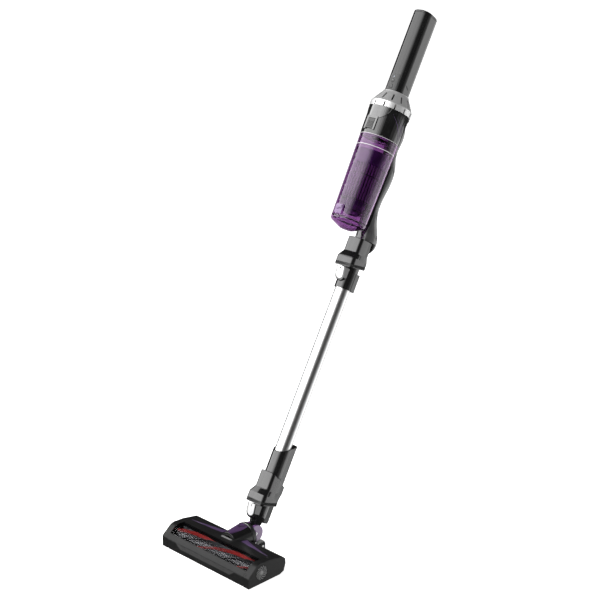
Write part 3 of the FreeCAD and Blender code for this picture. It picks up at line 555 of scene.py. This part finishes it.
def handle_end():
    """A low domed cap with a rounded rim, above a fine seam."""
    middle = (SEAM_FRONT + SEAM_BACK) / 2 + 0.15
    rim, top = 2.2, middle + 2.5
    rim_steps, dome_steps, dome_width, dome_rise = 6, 8, 13.5, 0.5
    rings = [
        grip_ring(3, middle - 3),
        grip_ring(0.5, middle),
        grip_ring(0, middle + 0.5),
        grip_ring(0, middle + 1.2),
        grip_ring(0, top),
    ]
    for k in range(1, rim_steps + 1):
        angle = math.pi / 2 * k / rim_steps
        rings.append(grip_ring(rim * (1 - math.cos(angle)), top + rim * math.sin(angle)))
    for k in range(1, dome_steps + 1):
        share = k / dome_steps
        rise = dome_rise * math.sin(share * math.pi / 2)
        rings.append(grip_ring(rim + dome_width * share, top + rim + rise))
    mesh = skin(rings, UNIT)
    add_piece("end_cap_dome", mesh, "main_unit", "black_gloss", replaces=("handle_end_cap",))


handle_end()
bevelled_copy("handle_grip", 0.25)
bevelled_copy("control_panel", 0.2)
bevelled_copy("power_button", 0.2)
bevelled_copy("boost_button", 0.2)


def arc(radius, start, end, centre, depth, steps=24):
    """An arc in the X-Z plane of the UNIT frame, on the front of the handle."""
    points = []
    for k in range(steps + 1):
        angle = math.radians(start + (end - start) * k / steps)
        points.append((centre[0] + radius * math.cos(angle), depth, centre[1] + radius * math.sin(angle)))
    return points


def panel_marks():
    """Generic marks: a ring with a bar for power, two chevrons for boost, and the status light."""
    face = -23.32
    power = tube_along(arc(2.0, 120, 420, (0, 852), face), 0.18, UNIT, 6)
    add_piece("mark_power_ring", power, "power_button", "mark_grey")
    bar = tube_along([(0, face, 852.6), (0, face, 854.6)], 0.18, UNIT, 6)
    add_piece("mark_power_bar", bar, "power_button", "mark_grey")
    for i, height in enumerate((862.2, 863.8)):
        chevron = [(-1.4, face, height), (0, face, height + 1.2), (1.4, face, height)]
        mesh = tube_along(chevron, 0.16, UNIT, 6)
        add_piece(f"mark_boost_{i}", mesh, "boost_button", "mark_grey")
    outline = filleted([(0, -23.3), (1.0, -23.2, 0.3), (1.0, -22.0), (0, -22.0)])
    lens = lathe(outline, UNIT, 32, (0, 871.5), "y")
    add_piece("status_lens", lens, "main_unit", "status_light")
    groove = [(19.75, -6.5, 863.5), (20.0, -1, 860.0), (20.0, 4.5, 856.5)]
    mesh = tube_along(groove, [0.2, 0.75, 0.3], UNIT)
    add_piece("side_groove", mesh, "main_unit", "rubber_black")


panel_marks()

# ---------------------------------------------------------------- motor unit

bevelled_copy("exhaust_ring", 0.3)
bevelled_copy("motor_housing", 0.3)
bevelled_copy("bin_latch", 0.35)

HOUSING_FOOT = 754.6


def seam_ring():
    """A fine bright ring where the bin meets the housing."""
    low, high = HOUSING_FOOT - 0.62, HOUSING_FOOT - 0.02
    profile = filleted([(35.4, low), (37.25, low, 0.1), (37.25, high, 0.1), (35.4, high)])
    add_piece("seam_ring", lathe(profile, UNIT, 128), "main_unit", "seam_line")


seam_ring()


def swoosh_lines():
    """Fine curved purple lines on the right of the housing, which widens by 1 mm in 54.2."""
    lines = ((-38, 8, 757, 800), (-20, 16, 761, 797), (-6, 20, 768, 795))  # two angles, two heights
    steps = 24
    for i, (start, end, low, high) in enumerate(lines):
        points, radii = [], []
        for k in range(steps + 1):
            share = k / steps
            angle = math.radians(end + (start - end) * share ** 1.7)
            height = low + (high - low) * share
            radius = 37.54 + (height - HOUSING_FOOT) / 54.2
            points.append((radius * math.cos(angle), radius * math.sin(angle), height))
            radii.append(0.1 + 0.42 * math.sin(math.pi * share))
        mesh = tube_along(points, radii, UNIT, 6)
        add_piece(f"swoosh_{i}", mesh, "main_unit", "purple_trim")


swoosh_lines()

# ---------------------------------------------------------------- dust bin

BIN_FOOT, BIN_TOP = 595.3, 753.9
BIN_RADIUS, BIN_FLARE, BIN_WALL = 33.8, 3.2, 1.8
SHOULDER = 708
HINGE = (35.6, 594.5)


def bin_wall():
    """The bin's clear wall, a slight cone with its hinge knuckle and a bright line round its front."""
    segments = 192

    def ring(height, inward):
        radius = BIN_RADIUS + BIN_FLARE * (height - BIN_FOOT) / (BIN_TOP - BIN_FOOT) - inward
        angles = (2 * math.pi * k / segments for k in range(segments))
        return [(radius * math.cos(angle), radius * math.sin(angle), height) for angle in angles]

    heights = [BIN_FOOT + 0.5, 620, 650, 680, SHOULDER]
    heights += [SHOULDER + 5 * k for k in range(1, 10)] + [BIN_TOP - 0.5]
    outer = [ring(BIN_FOOT, 0.5)] + [ring(height, 0) for height in heights] + [ring(BIN_TOP, 0.4)]
    inner = [ring(height, BIN_WALL) for height in [BIN_TOP] + heights[::-1] + [BIN_FOOT]]
    mesh = skin(outer + inner, UNIT, closed=True)
    add_piece("bin_wall", mesh, "dust_bin", "bin_clear", replaces=("bin_tub",), sharp=25)
    knuckle = filleted([(1.55, -4), (3, -4, 0.4), (3, 4, 0.4), (1.55, 4)])
    add_piece("bin_hinge_knuckle", lathe(knuckle, UNIT, 32, HINGE, "x"), "dust_bin", "bin_clear")
    band = filleted([(36.0, 733), (36.75, 733, 0.2), (36.75, 733.9, 0.2), (36.0, 733.9)])
    line = lathe(band, UNIT, 160)
    front_part(line, 20)
    add_piece("bin_line", line, "dust_bin", "seam_line")


def front_part(mesh, back_limit):
    """Keeps what lies in front of a limit in the UNIT frame, for a ring that stops short of the duct."""
    work = bmesh.new()
    work.from_mesh(mesh)
    plane = UNIT @ Vector((0, back_limit, 0)), UNIT.to_3x3() @ Vector((0, 1, 0))
    cut = bmesh.ops.bisect_plane(
        work, geom=work.verts[:] + work.edges[:] + work.faces[:],
        plane_co=plane[0], plane_no=plane[1], clear_outer=True,
    )
    edges = [item for item in cut["geom_cut"] if isinstance(item, bmesh.types.BMEdge)]
    bmesh.ops.holes_fill(work, edges=edges)
    bmesh.ops.recalc_face_normals(work, faces=work.faces)
    work.to_mesh(mesh)
    work.free()


def bin_lid():
    """A shallow domed lid with its two hinge barrels and a thumb lip."""
    profile = filleted([
        (0, 577.05), (12, 577.55, 4), (31.6, 587.2, 5), (33.8, 591, 2), (33.8, 594.85, 0.4),
        (31.6, 594.85, 0.4), (31.6, 592, 1), (29.8, 588.6, 3), (11.5, 579.5, 3), (0, 579),
    ], 6)
    add_piece("lid_dome", lathe(profile, UNIT, 192), "bin_lid", "bin_clear", replaces=("bin_lid",), sharp=25)
    barrel = filleted([(1.55, -2.8), (3, -2.8, 0.4), (3, 2.8, 0.4), (1.55, 2.8)])
    for i, offset in enumerate((-7.2, 7.2)):
        mesh = lathe([(radius, offset + along) for radius, along in barrel], UNIT, 32, HINGE, "x")
        add_piece(f"lid_barrel_{i}", mesh, "bin_lid", "bin_clear")
    lip = [at_height(rounded_rect(5, 35.55, -32.6, 1.2, 4), z) for z in (589.2, 594.2)]
    add_piece("lid_lip", skin(lip, UNIT), "bin_lid", "bin_clear")


bin_wall()
bin_lid()
bevelled_copy("lid_catch", 0.4, material="purple_clear")


def ribs(count, half_angle, low, high, depth):
    """Upright bars round the bin's axis, each from one (radius, height) to another."""
    points, faces = [], []
    for k in range(count):
        angle = 2 * math.pi * (k + 0.25) / count
        start = len(points)
        for radius, height in (low, high):
            for out, turn in ((0, -1), (depth, -0.7), (depth, 0.7), (0, 1)):
                around = angle + half_angle * turn
                points.append(((radius + out) * math.cos(around), (radius + out) * math.sin(around), height))
        faces += [
            (start, start + 1, start + 2, start + 3), (start + 4, start + 7, start + 6, start + 5),
            (start, start + 4, start + 5, start + 1), (start + 1, start + 5, start + 6, start + 2),
            (start + 2, start + 6, start + 7, start + 3), (start + 3, start + 7, start + 4, start),
        ]
    return build("ribs", points, faces, UNIT)


SKIRT_FOOT, CAGE_FOOT, CAGE_TOP = 612, 632, 727


def filter_cage():
    """A dark sleeve with upright ribs round the filter, its dark a painted shade in the gaps between the ribs, and
    a skirt of longer ribs below it.
    """
    sleeve = [(27.4, CAGE_FOOT), (28.5, CAGE_FOOT), (28.5, CAGE_TOP), (27.4, CAGE_TOP)]
    # the sleeve's dark colour is painted shade showing between the ribs
    add_piece("filter_shade_sleeve", lathe(sleeve, UNIT, 128), "dust_bin", "dark_inside")
    upper = ribs(34, math.radians(3.4), (28.2, CAGE_FOOT + 0.5), (28.2, CAGE_TOP - 0.5), 1.9)
    add_piece("filter_ribs", upper, "dust_bin", "purple_inner")
    lower = ribs(17, math.radians(1.4), (24.5, SKIRT_FOOT), (27.5, CAGE_FOOT + 0.5), 1.2)
    add_piece("skirt_ribs", lower, "dust_bin", "dark_inside")
    hoops = ((26.0, SKIRT_FOOT), (30.3, CAGE_FOOT), (30.35, 680), (30.3, CAGE_TOP - 1))
    for i, (outer, height) in enumerate(hoops):
        inner, low, high = outer - 2.4, height - 1, height + 1
        profile = filleted([(inner, low), (outer, low, 0.3), (outer, high, 0.3), (inner, high)])
        add_piece(f"cage_ring_{i}", lathe(profile, UNIT), "dust_bin", "dark_inside")


filter_cage()

# ---------------------------------------------------------------- spine and wand

bevelled_copy("spine_cover", 0.3)
bevelled_copy("rear_duct", 0.2)
bevelled_copy("wand_spigot", 0.4)
bevelled_copy("wand_socket", 0.4)


def wand_tube():
    """The drawn aluminium tube, 29 mm across with a 1.2 mm wall."""
    inner, outer, low, high = 13.3, 14.5, 112, 559
    profile = filleted([(inner, low), (outer, low, 0.2), (outer, high, 0.2), (inner, high)])
    add_piece("wand_tube_drawn", lathe(profile, WAND, 128), "wand", "aluminium", replaces=("wand_tube",))


wand_tube()

EDGE_SLOPE = 12.1 / 80
SKIRT = (23.0, 27.6, 19.0, 7.0)
BAND_DEPTH, BOW = 0.6, 1.5


def inset(section, by):
    """A section drawn in all round."""
    half, front, rear, corner = section
    return half - by, front - by, rear - by, max(corner - by, 1)


def along_outline(outline, count):
    """Evenly spaced places on a closed outline, each with the direction along it."""
    closed = outline + outline[:1]
    lengths = [0.0]
    for a, b in zip(closed, closed[1:]):
        lengths.append(lengths[-1] + math.dist(a, b))
    places = []
    i = 0
    for k in range(count):
        target = lengths[-1] * k / count
        while lengths[i + 1] < target:
            i += 1
        start, end = Vector(closed[i]), Vector(closed[i + 1])
        share = (target - lengths[i]) / max(lengths[i + 1] - lengths[i], 1e-9)
        places.append((start.lerp(end, share), (end - start).normalized()))
    return places


def collar(name, node, body, base, neck_rear, neck_top, rim_slope):
    """A skirt with a recessed lower band, a soft shoulder and a neck; the bore is open.

    The base and the neck's top are heights in the WAND frame, and the rim slopes towards +Y.
    """
    steps, bore = 12, 16.85
    neck = (18.5, 20.5, neck_rear, 6.0)

    def ring(section, height, tilt=0.0):
        return at_height(bowed(section, steps, BOW), height, tilt)

    def bore_ring(height, tilt):
        points = []
        for x, y in rounded_rect(*neck, steps):
            size = math.hypot(x, y)
            points.append((x / size * bore, y / size * bore, height + tilt * y / size * bore))
        return points

    edge = base + 4.15
    rings = [
        ring(inset(SKIRT, 1.4), edge, EDGE_SLOPE),
        ring(inset(SKIRT, 0.4), edge + 0.15, EDGE_SLOPE),
        ring(SKIRT, edge + 0.6, EDGE_SLOPE),
        ring(SKIRT, edge + 1.4, EDGE_SLOPE),
        ring(inset(SKIRT, BAND_DEPTH), edge + 1.5, EDGE_SLOPE),
        ring(inset(SKIRT, BAND_DEPTH), edge + 6.9, EDGE_SLOPE),
        ring(inset(SKIRT, 0.1), edge + 7.0, EDGE_SLOPE),
        ring(SKIRT, edge + 7.3, EDGE_SLOPE),
        ring(inset(SKIRT, 0.02), base + 18.0),
        ring(inset(SKIRT, 0.3), base + 18.8),
    ]
    for share in (0.06, 0.15, 0.3, 0.5, 0.7, 0.85, 0.94):
        section = tuple(a + (b - a) * share for a, b in zip(SKIRT, neck))
        rings.append(ring(section, base + 19 + 12 * share))
    rings += [
        ring(neck, base + 31.4),
        ring(neck, neck_top - 0.9, rim_slope),
        ring(inset(neck, 0.3), neck_top - 0.3, rim_slope),
        ring(inset(neck, 0.9), neck_top - 0.02, rim_slope),
        bore_ring(neck_top, rim_slope),
        bore_ring(edge, EDGE_SLOPE),
    ]
    add_piece(name, skin(rings, WAND, closed=True), body, "black_gloss", replaces=(node,), sharp=13)
    knurl(name, body, edge)


def knurl(name, body, edge):
    """Upright grip teeth in the recessed band, flush with the skirt."""
    outline = bowed(inset(SKIRT, BAND_DEPTH), 40, BOW)
    buried, proud_face, half_width, taper, count = -0.3, 0.62, 0.62, 0.72, 78
    teeth, faces = [], []
    for here, along in along_outline(outline, count):
        out = Vector((along.y, -along.x))
        low = edge + 1.6 + EDGE_SLOPE * here.y
        start = len(teeth)
        levels = ((0, buried, 1), (0.3, proud_face, taper), (5.0, proud_face, taper), (5.3, buried, 1))
        for rise, proud, width in levels:
            for across in (-half_width, half_width):
                point = here + along * across * width + out * proud
                teeth.append((point.x, point.y, low + rise))
        s = start
        faces += [
            (s, s + 1, s + 3, s + 2), (s + 2, s + 3, s + 5, s + 4), (s + 4, s + 5, s + 7, s + 6),
            (s + 6, s + 7, s + 1, s), (s, s + 2, s + 4, s + 6), (s + 1, s + 7, s + 5, s + 3),
        ]
    mesh = build("knurl", teeth, faces, WAND)
    add_piece(f"{name}_knurl", mesh, body, "rubber_black", sharp=30)


UPPER_BASE, LOWER_BASE = 515, 52
collar("inlet_collar_skirt", "inlet_collar", "main_unit", UPPER_BASE, 18.5, 574, 0.0)
collar("wand_collar_skirt", "wand_collar", "wand", LOWER_BASE, 27.0, 106.05, -34.9 / 80)


def release_tab(name, node, body, base):
    """A white tab with a rounded foot and shallow grip lines across its leaning face."""
    bevelled_copy(node, 0.5, name=name, segments=3)
    lean, foot, foot_depth, half_line = 5.8 / 22.6, base - 24, -22.42, 4.2
    for i in range(3):
        height = base - 17 + 3.0 * i
        depth = foot_depth - (height - foot) * lean
        mesh = tube_along([(-half_line, depth, height), (half_line, depth, height)], 0.3, WAND)
        add_piece(f"{name}_line_{i}", mesh, body, "white_tab")


release_tab("upper_tab", "upper_release", "upper_release", UPPER_BASE)
release_tab("lower_tab", "lower_release", "lower_release", LOWER_BASE)

# ---------------------------------------------------------------- neck and elbow

HOOD_Z = 27.2

bevelled_copy("neck_pipe", 0.4)
bevelled_copy("neck_cable_cover", 0.8, segments=3)
bevelled_copy("knuckle_shell", 1.2, segments=4)
bevelled_copy("swivel_ring", 0.5)


def ring_crescent():
    """A bright crescent let into the top of the ring's front edge."""
    half, steps, radius, ring_front = math.radians(41), 32, 24.05, 44.6
    points, radii = [], []
    for k in range(steps + 1):
        angle = math.pi / 2 - half + 2 * half * k / steps
        points.append((radius * math.cos(angle), ring_front, HOOD_Z + radius * math.sin(angle)))
        radii.append(0.12 + 0.45 * math.sin(math.pi * k / steps))
    add_piece("ring_crescent", tube_along(points, radii, HEAD, 10), "elbow", "bright_trim")


ring_crescent()

# ---------------------------------------------------------------- floor head


def hood_radius(y):
    """The hood widens from 19.5 mm at Y = 4 to 23.7 mm at Y = 43."""
    return 19.5 + 4.2 * (y - 4) / 39


def hood():
    """The swivel hood: a glossy cone with a rounded nose, and the patterned band along its top."""
    bevelled_copy("swivel_hood", 0.6, segments=3)
    rows, columns = 24, 24
    half = math.radians(27)
    rings = []
    for r in range(rows + 1):
        share = r / rows
        y = 5.5 + 36.5 * share
        spread_here = half * (0.62 + 0.38 * math.sin(min(1.0, share * 1.6) * math.pi / 2))
        outer, inner = [], []
        for c in range(columns + 1):
            angle = math.pi / 2 + spread_here * (1 - 2 * c / columns)
            for group, proud in ((outer, 0.28), (inner, -0.3)):
                radius = hood_radius(y) + proud
                group.append((radius * math.cos(angle), y, HOOD_Z + radius * math.sin(angle)))
        rings.append(outer + inner[::-1])
    add_piece("hood_band", skin(rings, HEAD), "floor_head", "purple_band")


hood()


def top_height(y):
    """Height of the head's top surface behind the window."""
    return 38.9 - (y + 5) * 6.6 / 34


def wing(sign):
    """A purple inlay that tapers from the hood to the end of the head."""
    stations = 30
    inner_end, outer_end = (25.5, 20.0), (100.4, 5.2)
    rings = []
    for k in range(stations + 1):
        share = k / stations
        x = sign * (inner_end[0] + (outer_end[0] - inner_end[0]) * share)
        centre = inner_end[1] + (outer_end[1] - inner_end[1]) * (share ** 0.75)
        half = 7.0 * (1 - share) ** 1.15 + 0.35
        ring = []
        for offset, proud in ((-1, -0.6), (-1, 0.1), (-0.9, 0.28), (0.9, 0.28), (1, 0.1), (1, -0.6)):
            y = centre + half * offset
            ring.append((x, y, top_height(y) + proud))
        rings.append(ring)
    name = "wing_right" if sign > 0 else "wing_left"
    add_piece(name, skin(rings, HEAD), "floor_head", "purple_trim")


for sign in (-1, 1):
    wing(sign)


def painted_highlight_oblong():
    """A plain bright oblong with a raised rim, in front of the hood; its bright grey is a painted highlight."""
    half_x, half_y, centre_y = 13.5, 2.4, -0.2
    outline = rounded_rect(half_x, half_y, half_y, 2.2)
    steps = ((0.3, -1.5), (0, -0.6), (0, 0.25), (0.35, 0.6), (0.8, 0.6), (1.1, 0.35), (2.1, 0.4))
    rings = []
    for inward, height in steps:
        scale_x, scale_y = (half_x - inward) / half_x, (half_y - inward) / half_y
        spots = [(x * scale_x, centre_y + y * scale_y) for x, y in outline]
        rings.append([(x, y, top_height(y) + height) for x, y in spots])
    add_piece("painted_highlight_plate", skin(rings, HEAD), "floor_head", "badge_grey")


painted_highlight_oblong()


def vented_cap():
    """The removable end cap: a round recess with a ring of curved vanes round a hub."""
    centre = (-23.0, 21.0)
    hub_radius, vent_radius, floor, outside = 4.2, 13.2, 114.1, 118
    vanes, steps = 12, 6

    def disc(radius, low, high):
        return lathe([(0, low), (radius, low), (radius, high), (0, high)], HEAD, 64, centre, "x")

    bevelled_copy("right_end_cap", 1.0, segments=4, cutter=disc(vent_radius, floor, outside))
    points, faces = [], []
    for v in range(vanes):
        start = len(points)
        for k in range(steps + 1):
            share = k / steps
            radius = hub_radius + 0.6 + (vent_radius - hub_radius - 1.0) * share
            sweep = 2 * math.pi * v / vanes + 0.75 * share ** 1.3
            half_width = 0.6 + 0.6 * share
            for depth in (floor - 0.1, floor + 0.8):
                for side_step in (-1, 1):
                    turn = sweep + side_step * half_width / radius
                    y, z = radius * math.cos(turn), radius * math.sin(turn)
                    points.append((depth, centre[0] + y, centre[1] + z))
        for k in range(steps):
            a, b = start + 4 * k, start + 4 * (k + 1)
            faces += [(a, b, b + 1, a + 1), (a + 2, a + 3, b + 3, b + 2)]
            faces += [(a, a + 2, b + 2, b), (a + 1, b + 1, b + 3, a + 3)]
        last = start + 4 * steps
        faces += [(start, start + 1, start + 3, start + 2), (last, last + 2, last + 3, last + 1)]
    add_piece("vent_vanes", build("vanes", points, faces, HEAD), "right_cap", "vent_grey")
    bed = disc(vent_radius - 0.05, floor - 0.2, floor + 0.1)
    add_piece("vent_bed", bed, "right_cap", "rubber_black")
    low, high = floor - 0.2, floor + 0.7
    outline = filleted([(0, low), (hub_radius, low), (hub_radius, high, 0.4), (0, high + 0.15)])
    hub = lathe(outline, HEAD, 32, centre, "x")
    add_piece("vent_hub", hub, "right_cap", "vent_grey")


def head_grooves():
    """Fine dark joints round the bumper and along the front of the window; the line round the bumper is also a
    painted shadow beneath the bumper's ledge.
    """
    face, low, high = -54.72, 11.3, 19.6
    outline = ((-77.2, high), (-66, low), (-65.9, low), (65.9, low), (66, low), (77.2, high))
    path = [(x, face, z) for x, z in outline]
    # a dark joint line that also paints the shadow beneath the bumper's ledge
    add_piece("bumper_joint_and_shadow", tube_along(path, 0.45, HEAD), "floor_head", "rubber_black")
    front = [(-101, -47.2, 28.2), (101, -47.2, 28.2)]
    add_piece("window_joint", tube_along(front, 0.5, HEAD), "floor_head", "rubber_black")


head_grooves()
bevelled_copy("head_shell", 0.35)
bevelled_copy("brush_window", 0.25)
bevelled_copy("front_bumper", 0.35)
bevelled_copy("left_end_cap", 1.0, segments=4)
vented_cap()
bevelled_copy("sole_plate", 0.3)
bevelled_copy("brush_core", 0.4)


def bristles():
    """Three helical rows of fine tufts, each a slim tapered blade leaning a little."""
    rng = random.Random(7)
    centre_y, centre_z = -25.0, 18.3
    pitch, half, core_half = 312.0, 96.0, 97
    inner, row_radius, outer = 11.6, 14, 17.6
    spacing, rows = 0.62, 3
    for row in range(rows):
        points, faces = [], []
        count = int(2 * half / spacing)
        for k in range(count):
            for lane in (-1.15, -0.4, 0.4, 1.15):
                x = -half + spacing * (k + rng.random())
                turn = math.radians(360 / rows * row) - 2 * math.pi * (x + core_half) / pitch
                turn += (lane + rng.uniform(-0.2, 0.2)) / row_radius
                lean = rng.uniform(-0.05, 0.05)
                slide = rng.uniform(-0.5, 0.5)
                tip = outer - rng.random() * 0.7
                start = len(points)
                for radius, width in ((inner, 0.3), (tip, 0.16)):
                    share = (radius - inner) / (outer - inner)
                    angle = turn + lean * share
                    for corner in range(3):
                        across = width * math.cos(math.radians(120 * corner))
                        around = width * math.sin(math.radians(120 * corner)) / radius
                        points.append((
                            x + slide * share + across,
                            centre_y + radius * math.cos(angle + around),
                            centre_z + radius * math.sin(angle + around),
                        ))
                s = start
                faces += [
                    (s, s + 1, s + 4, s + 3), (s + 1, s + 2, s + 5, s + 4), (s + 2, s, s + 3, s + 5),
                    (s, s + 2, s + 1), (s + 3, s + 4, s + 5),
                ]
        replaced = ("brush_bristles",) if row == 0 else ()
        mesh = build("bristles", points, faces, HEAD)
        add_piece(f"bristle_row_{row}", mesh, "brush", "bristle_red", replaces=replaced)


bristles()


def cap_details():
    """Small pins at the seams of the end caps and two dots behind the vent."""
    for i, (x, y, z) in enumerate(((104.5, -52.3, 24.2), (104.5, 0.5, 37.9))):
        profile = filleted([(0, z - 1), (1.4, z - 1), (1.4, z + 0.35, 0.4), (0, z + 0.55)])
        mesh = lathe(profile, HEAD, 24, (x, y))
        add_piece(f"cap_pin_{i}", mesh, "right_cap", "bumper_grey")
    for i, (y, z) in enumerate(((1.5, 27.0), (5.0, 27.4))):
        profile = filleted([(0, 114.4), (0.8, 114.4), (0.8, 114.95, 0.2), (0, 115)])
        mesh = lathe(profile, HEAD, 20, (y, z), "x")
        add_piece(f"cap_dot_{i}", mesh, "right_cap", "mark_grey")


cap_details()


def wheels():
    """Rear wheels with rounded shoulders and a dished hub."""
    axle, radius, bore = (61.0, 9.75), 9.75, 2.06
    inner, outer = 19.0, 27.0
    dish = outer - 1.6
    outline = (
        (bore, inner), (8.8, inner, 0.5), (radius, inner + 0.9, 0.4), (radius, outer - 0.9, 0.4),
        (8.8, outer, 0.5), (7.4, outer, 0.3), (6.9, dish, 0.4), (3.8, dish, 0.4), (3.6, outer, 0.3),
        (bore, outer),
    )
    for name, sign in (("left", -1), ("right", 1)):
        profile = filleted([(out, along * sign, *fillet) for out, along, *fillet in outline])
        node = f"rear_wheel_{name}"
        mesh = lathe(profile, HEAD, 72, axle, "x")
        add_piece(f"rear_tyre_{name}", mesh, node, "wheel_grey", replaces=(node,))


wheels()

# ---------------------------------------------------------------- floor, light and camera

FLOOR_HALF = 60.0
WORLD_SEEN, WORLD_REFLECTED, WORLD_LIGHT = 1.0, 0.045, 0.45


def studio():
    """A plain pale floor, and a world that is white to the eye and dim in reflections."""
    corners = [(x * FLOOR_HALF, y * FLOOR_HALF, floor_z) for x, y in ((-1, -1), (1, -1), (1, 1), (-1, 1))]
    mesh = bpy.data.meshes.new("floor")
    mesh.from_pydata(corners, [], [(0, 1, 2, 3)])
    floor = bpy.data.objects.new("floor", mesh)
    bpy.context.scene.collection.objects.link(floor)
    nodes, links, shader = new_material("floor_paper")
    coords = object_coords(nodes, links, (1, 1, 1))
    paper = noise(nodes, links, coords, 3, 2)
    links.new(ramp(nodes, links, paper, [(0.3, grey(0.78)), (0.7, grey(0.8))]), shader.inputs["Base Color"])
    shader.inputs["Roughness"].default_value = 0.9
    shader.inputs["Specular IOR Level"].default_value = 0.1
    shader.inputs["Emission Color"].default_value = (1, 1, 1, 1)
    shader.inputs["Emission Strength"].default_value = 0.75
    mesh.materials.append(MATERIALS["floor_paper"])
    floor.visible_glossy = False

    world = bpy.data.worlds.new("studio")
    bpy.context.scene.world = world
    world.use_nodes = True
    nodes, links = world.node_tree.nodes, world.node_tree.links
    background = nodes["Background"]
    background.inputs["Color"].default_value = (1, 1, 1, 1)
    rays = nodes.new("ShaderNodeLightPath")
    strength = nodes.new("ShaderNodeMapRange")
    strength.inputs["To Min"].default_value = WORLD_SEEN
    strength.inputs["To Max"].default_value = WORLD_REFLECTED
    links.new(rays.outputs["Is Glossy Ray"], strength.inputs["Value"])
    softer = nodes.new("ShaderNodeMapRange")
    softer.inputs["To Max"].default_value = WORLD_LIGHT
    links.new(rays.outputs["Is Diffuse Ray"], softer.inputs["Value"])
    links.new(strength.outputs["Result"], softer.inputs["To Min"])
    links.new(softer.outputs["Result"], background.inputs["Strength"])


CAMERA_AZIMUTH, CAMERA_ELEVATION = 44.69, 17.88
CAMERA_DISTANCE, CAMERA_LENS = 2.5234, 84.2


def towards_camera():
    a, e = math.radians(CAMERA_AZIMUTH), math.radians(CAMERA_ELEVATION)
    return Vector((math.sin(a) * math.cos(e), -math.cos(a) * math.cos(e), math.sin(e)))


LIGHT_DISTANCE = 2.6


def softbox(name, start, end, low, high, radiance):
    """A soft box parallel to the stick.

    It spans two angles about the stick, counted from the camera, and two heights along it, counted
    from the middle of the handle.
    """
    face = towards_camera()
    face = (face - up * face.dot(up)).normalized()
    face = Matrix.Rotation(math.radians((start + end) / 2), 3, up) @ face
    across = up.cross(face)
    light = bpy.data.lights.new(name, "AREA")
    light.shape = "RECTANGLE"
    light.size = 2 * LIGHT_DISTANCE * math.tan(math.radians(abs(end - start) / 2))
    light.size_y = high - low
    light.energy = radiance * math.pi * light.size * light.size_y
    obj = bpy.data.objects.new(name, light)
    bpy.context.scene.collection.objects.link(obj)
    centre = face * LIGHT_DISTANCE + up * (low + high) / 2
    turn = Matrix((across, up, face)).transposed().to_4x4()
    obj.matrix_world = Matrix.Translation(centre) @ turn
    obj.visible_camera = False


# angles about the stick from the camera, and the share of the full brightness there
KEY_COLUMNS = (
    (-116, -86, 0.86), (-86, -60, 0.94), (-60, -42, 1.0), (-42, -31, 0.86),
    (-31, -22, 0.62), (-22, -14, 0.36), (-14, -6, 0.14),
)
# heights along the stick, and the brightness there
KEY_ROWS = ((-1.35, 0.02, 5.2), (0.02, 0.36, 5.4), (0.36, 0.51, 8.0), (0.51, 1.3, 3.2))
# the fill: two angles and the brightness there, in two rows that leave the motor housing dark
FILL_COLUMNS = ((50, 70, 0.25), (70, 86, 0.8), (86, 104, 2.1), (104, 146, 1.5))
FILL_ROWS = ((-1.35, 0.365), (0.475, 1.35))


def lights():
    for row, (low, high, radiance) in enumerate(KEY_ROWS):
        for column, (start, end, share) in enumerate(KEY_COLUMNS):
            softbox(f"key_{row}_{column}", start, end, low, high, radiance * share)
    for row, (low, high) in enumerate(FILL_ROWS):
        for column, (start, end, radiance) in enumerate(FILL_COLUMNS):
            softbox(f"fill_{row}_{column}", start, end, low, high, radiance)


def camera():
    target = HEAD @ Vector((0, 187.1, 444.2))
    data = bpy.data.cameras.new("camera")
    data.lens = CAMERA_LENS
    data.sensor_width = 36
    data.clip_end = 200
    obj = bpy.data.objects.new("camera", data)
    bpy.context.scene.collection.objects.link(obj)
    obj.location = target + towards_camera() * CAMERA_DISTANCE
    obj.rotation_euler = towards_camera().to_track_quat("Z", "Y").to_euler()
    bpy.context.scene.camera = obj


studio()
lights()
camera()
bpy.context.scene.view_settings.view_transform = "Standard"
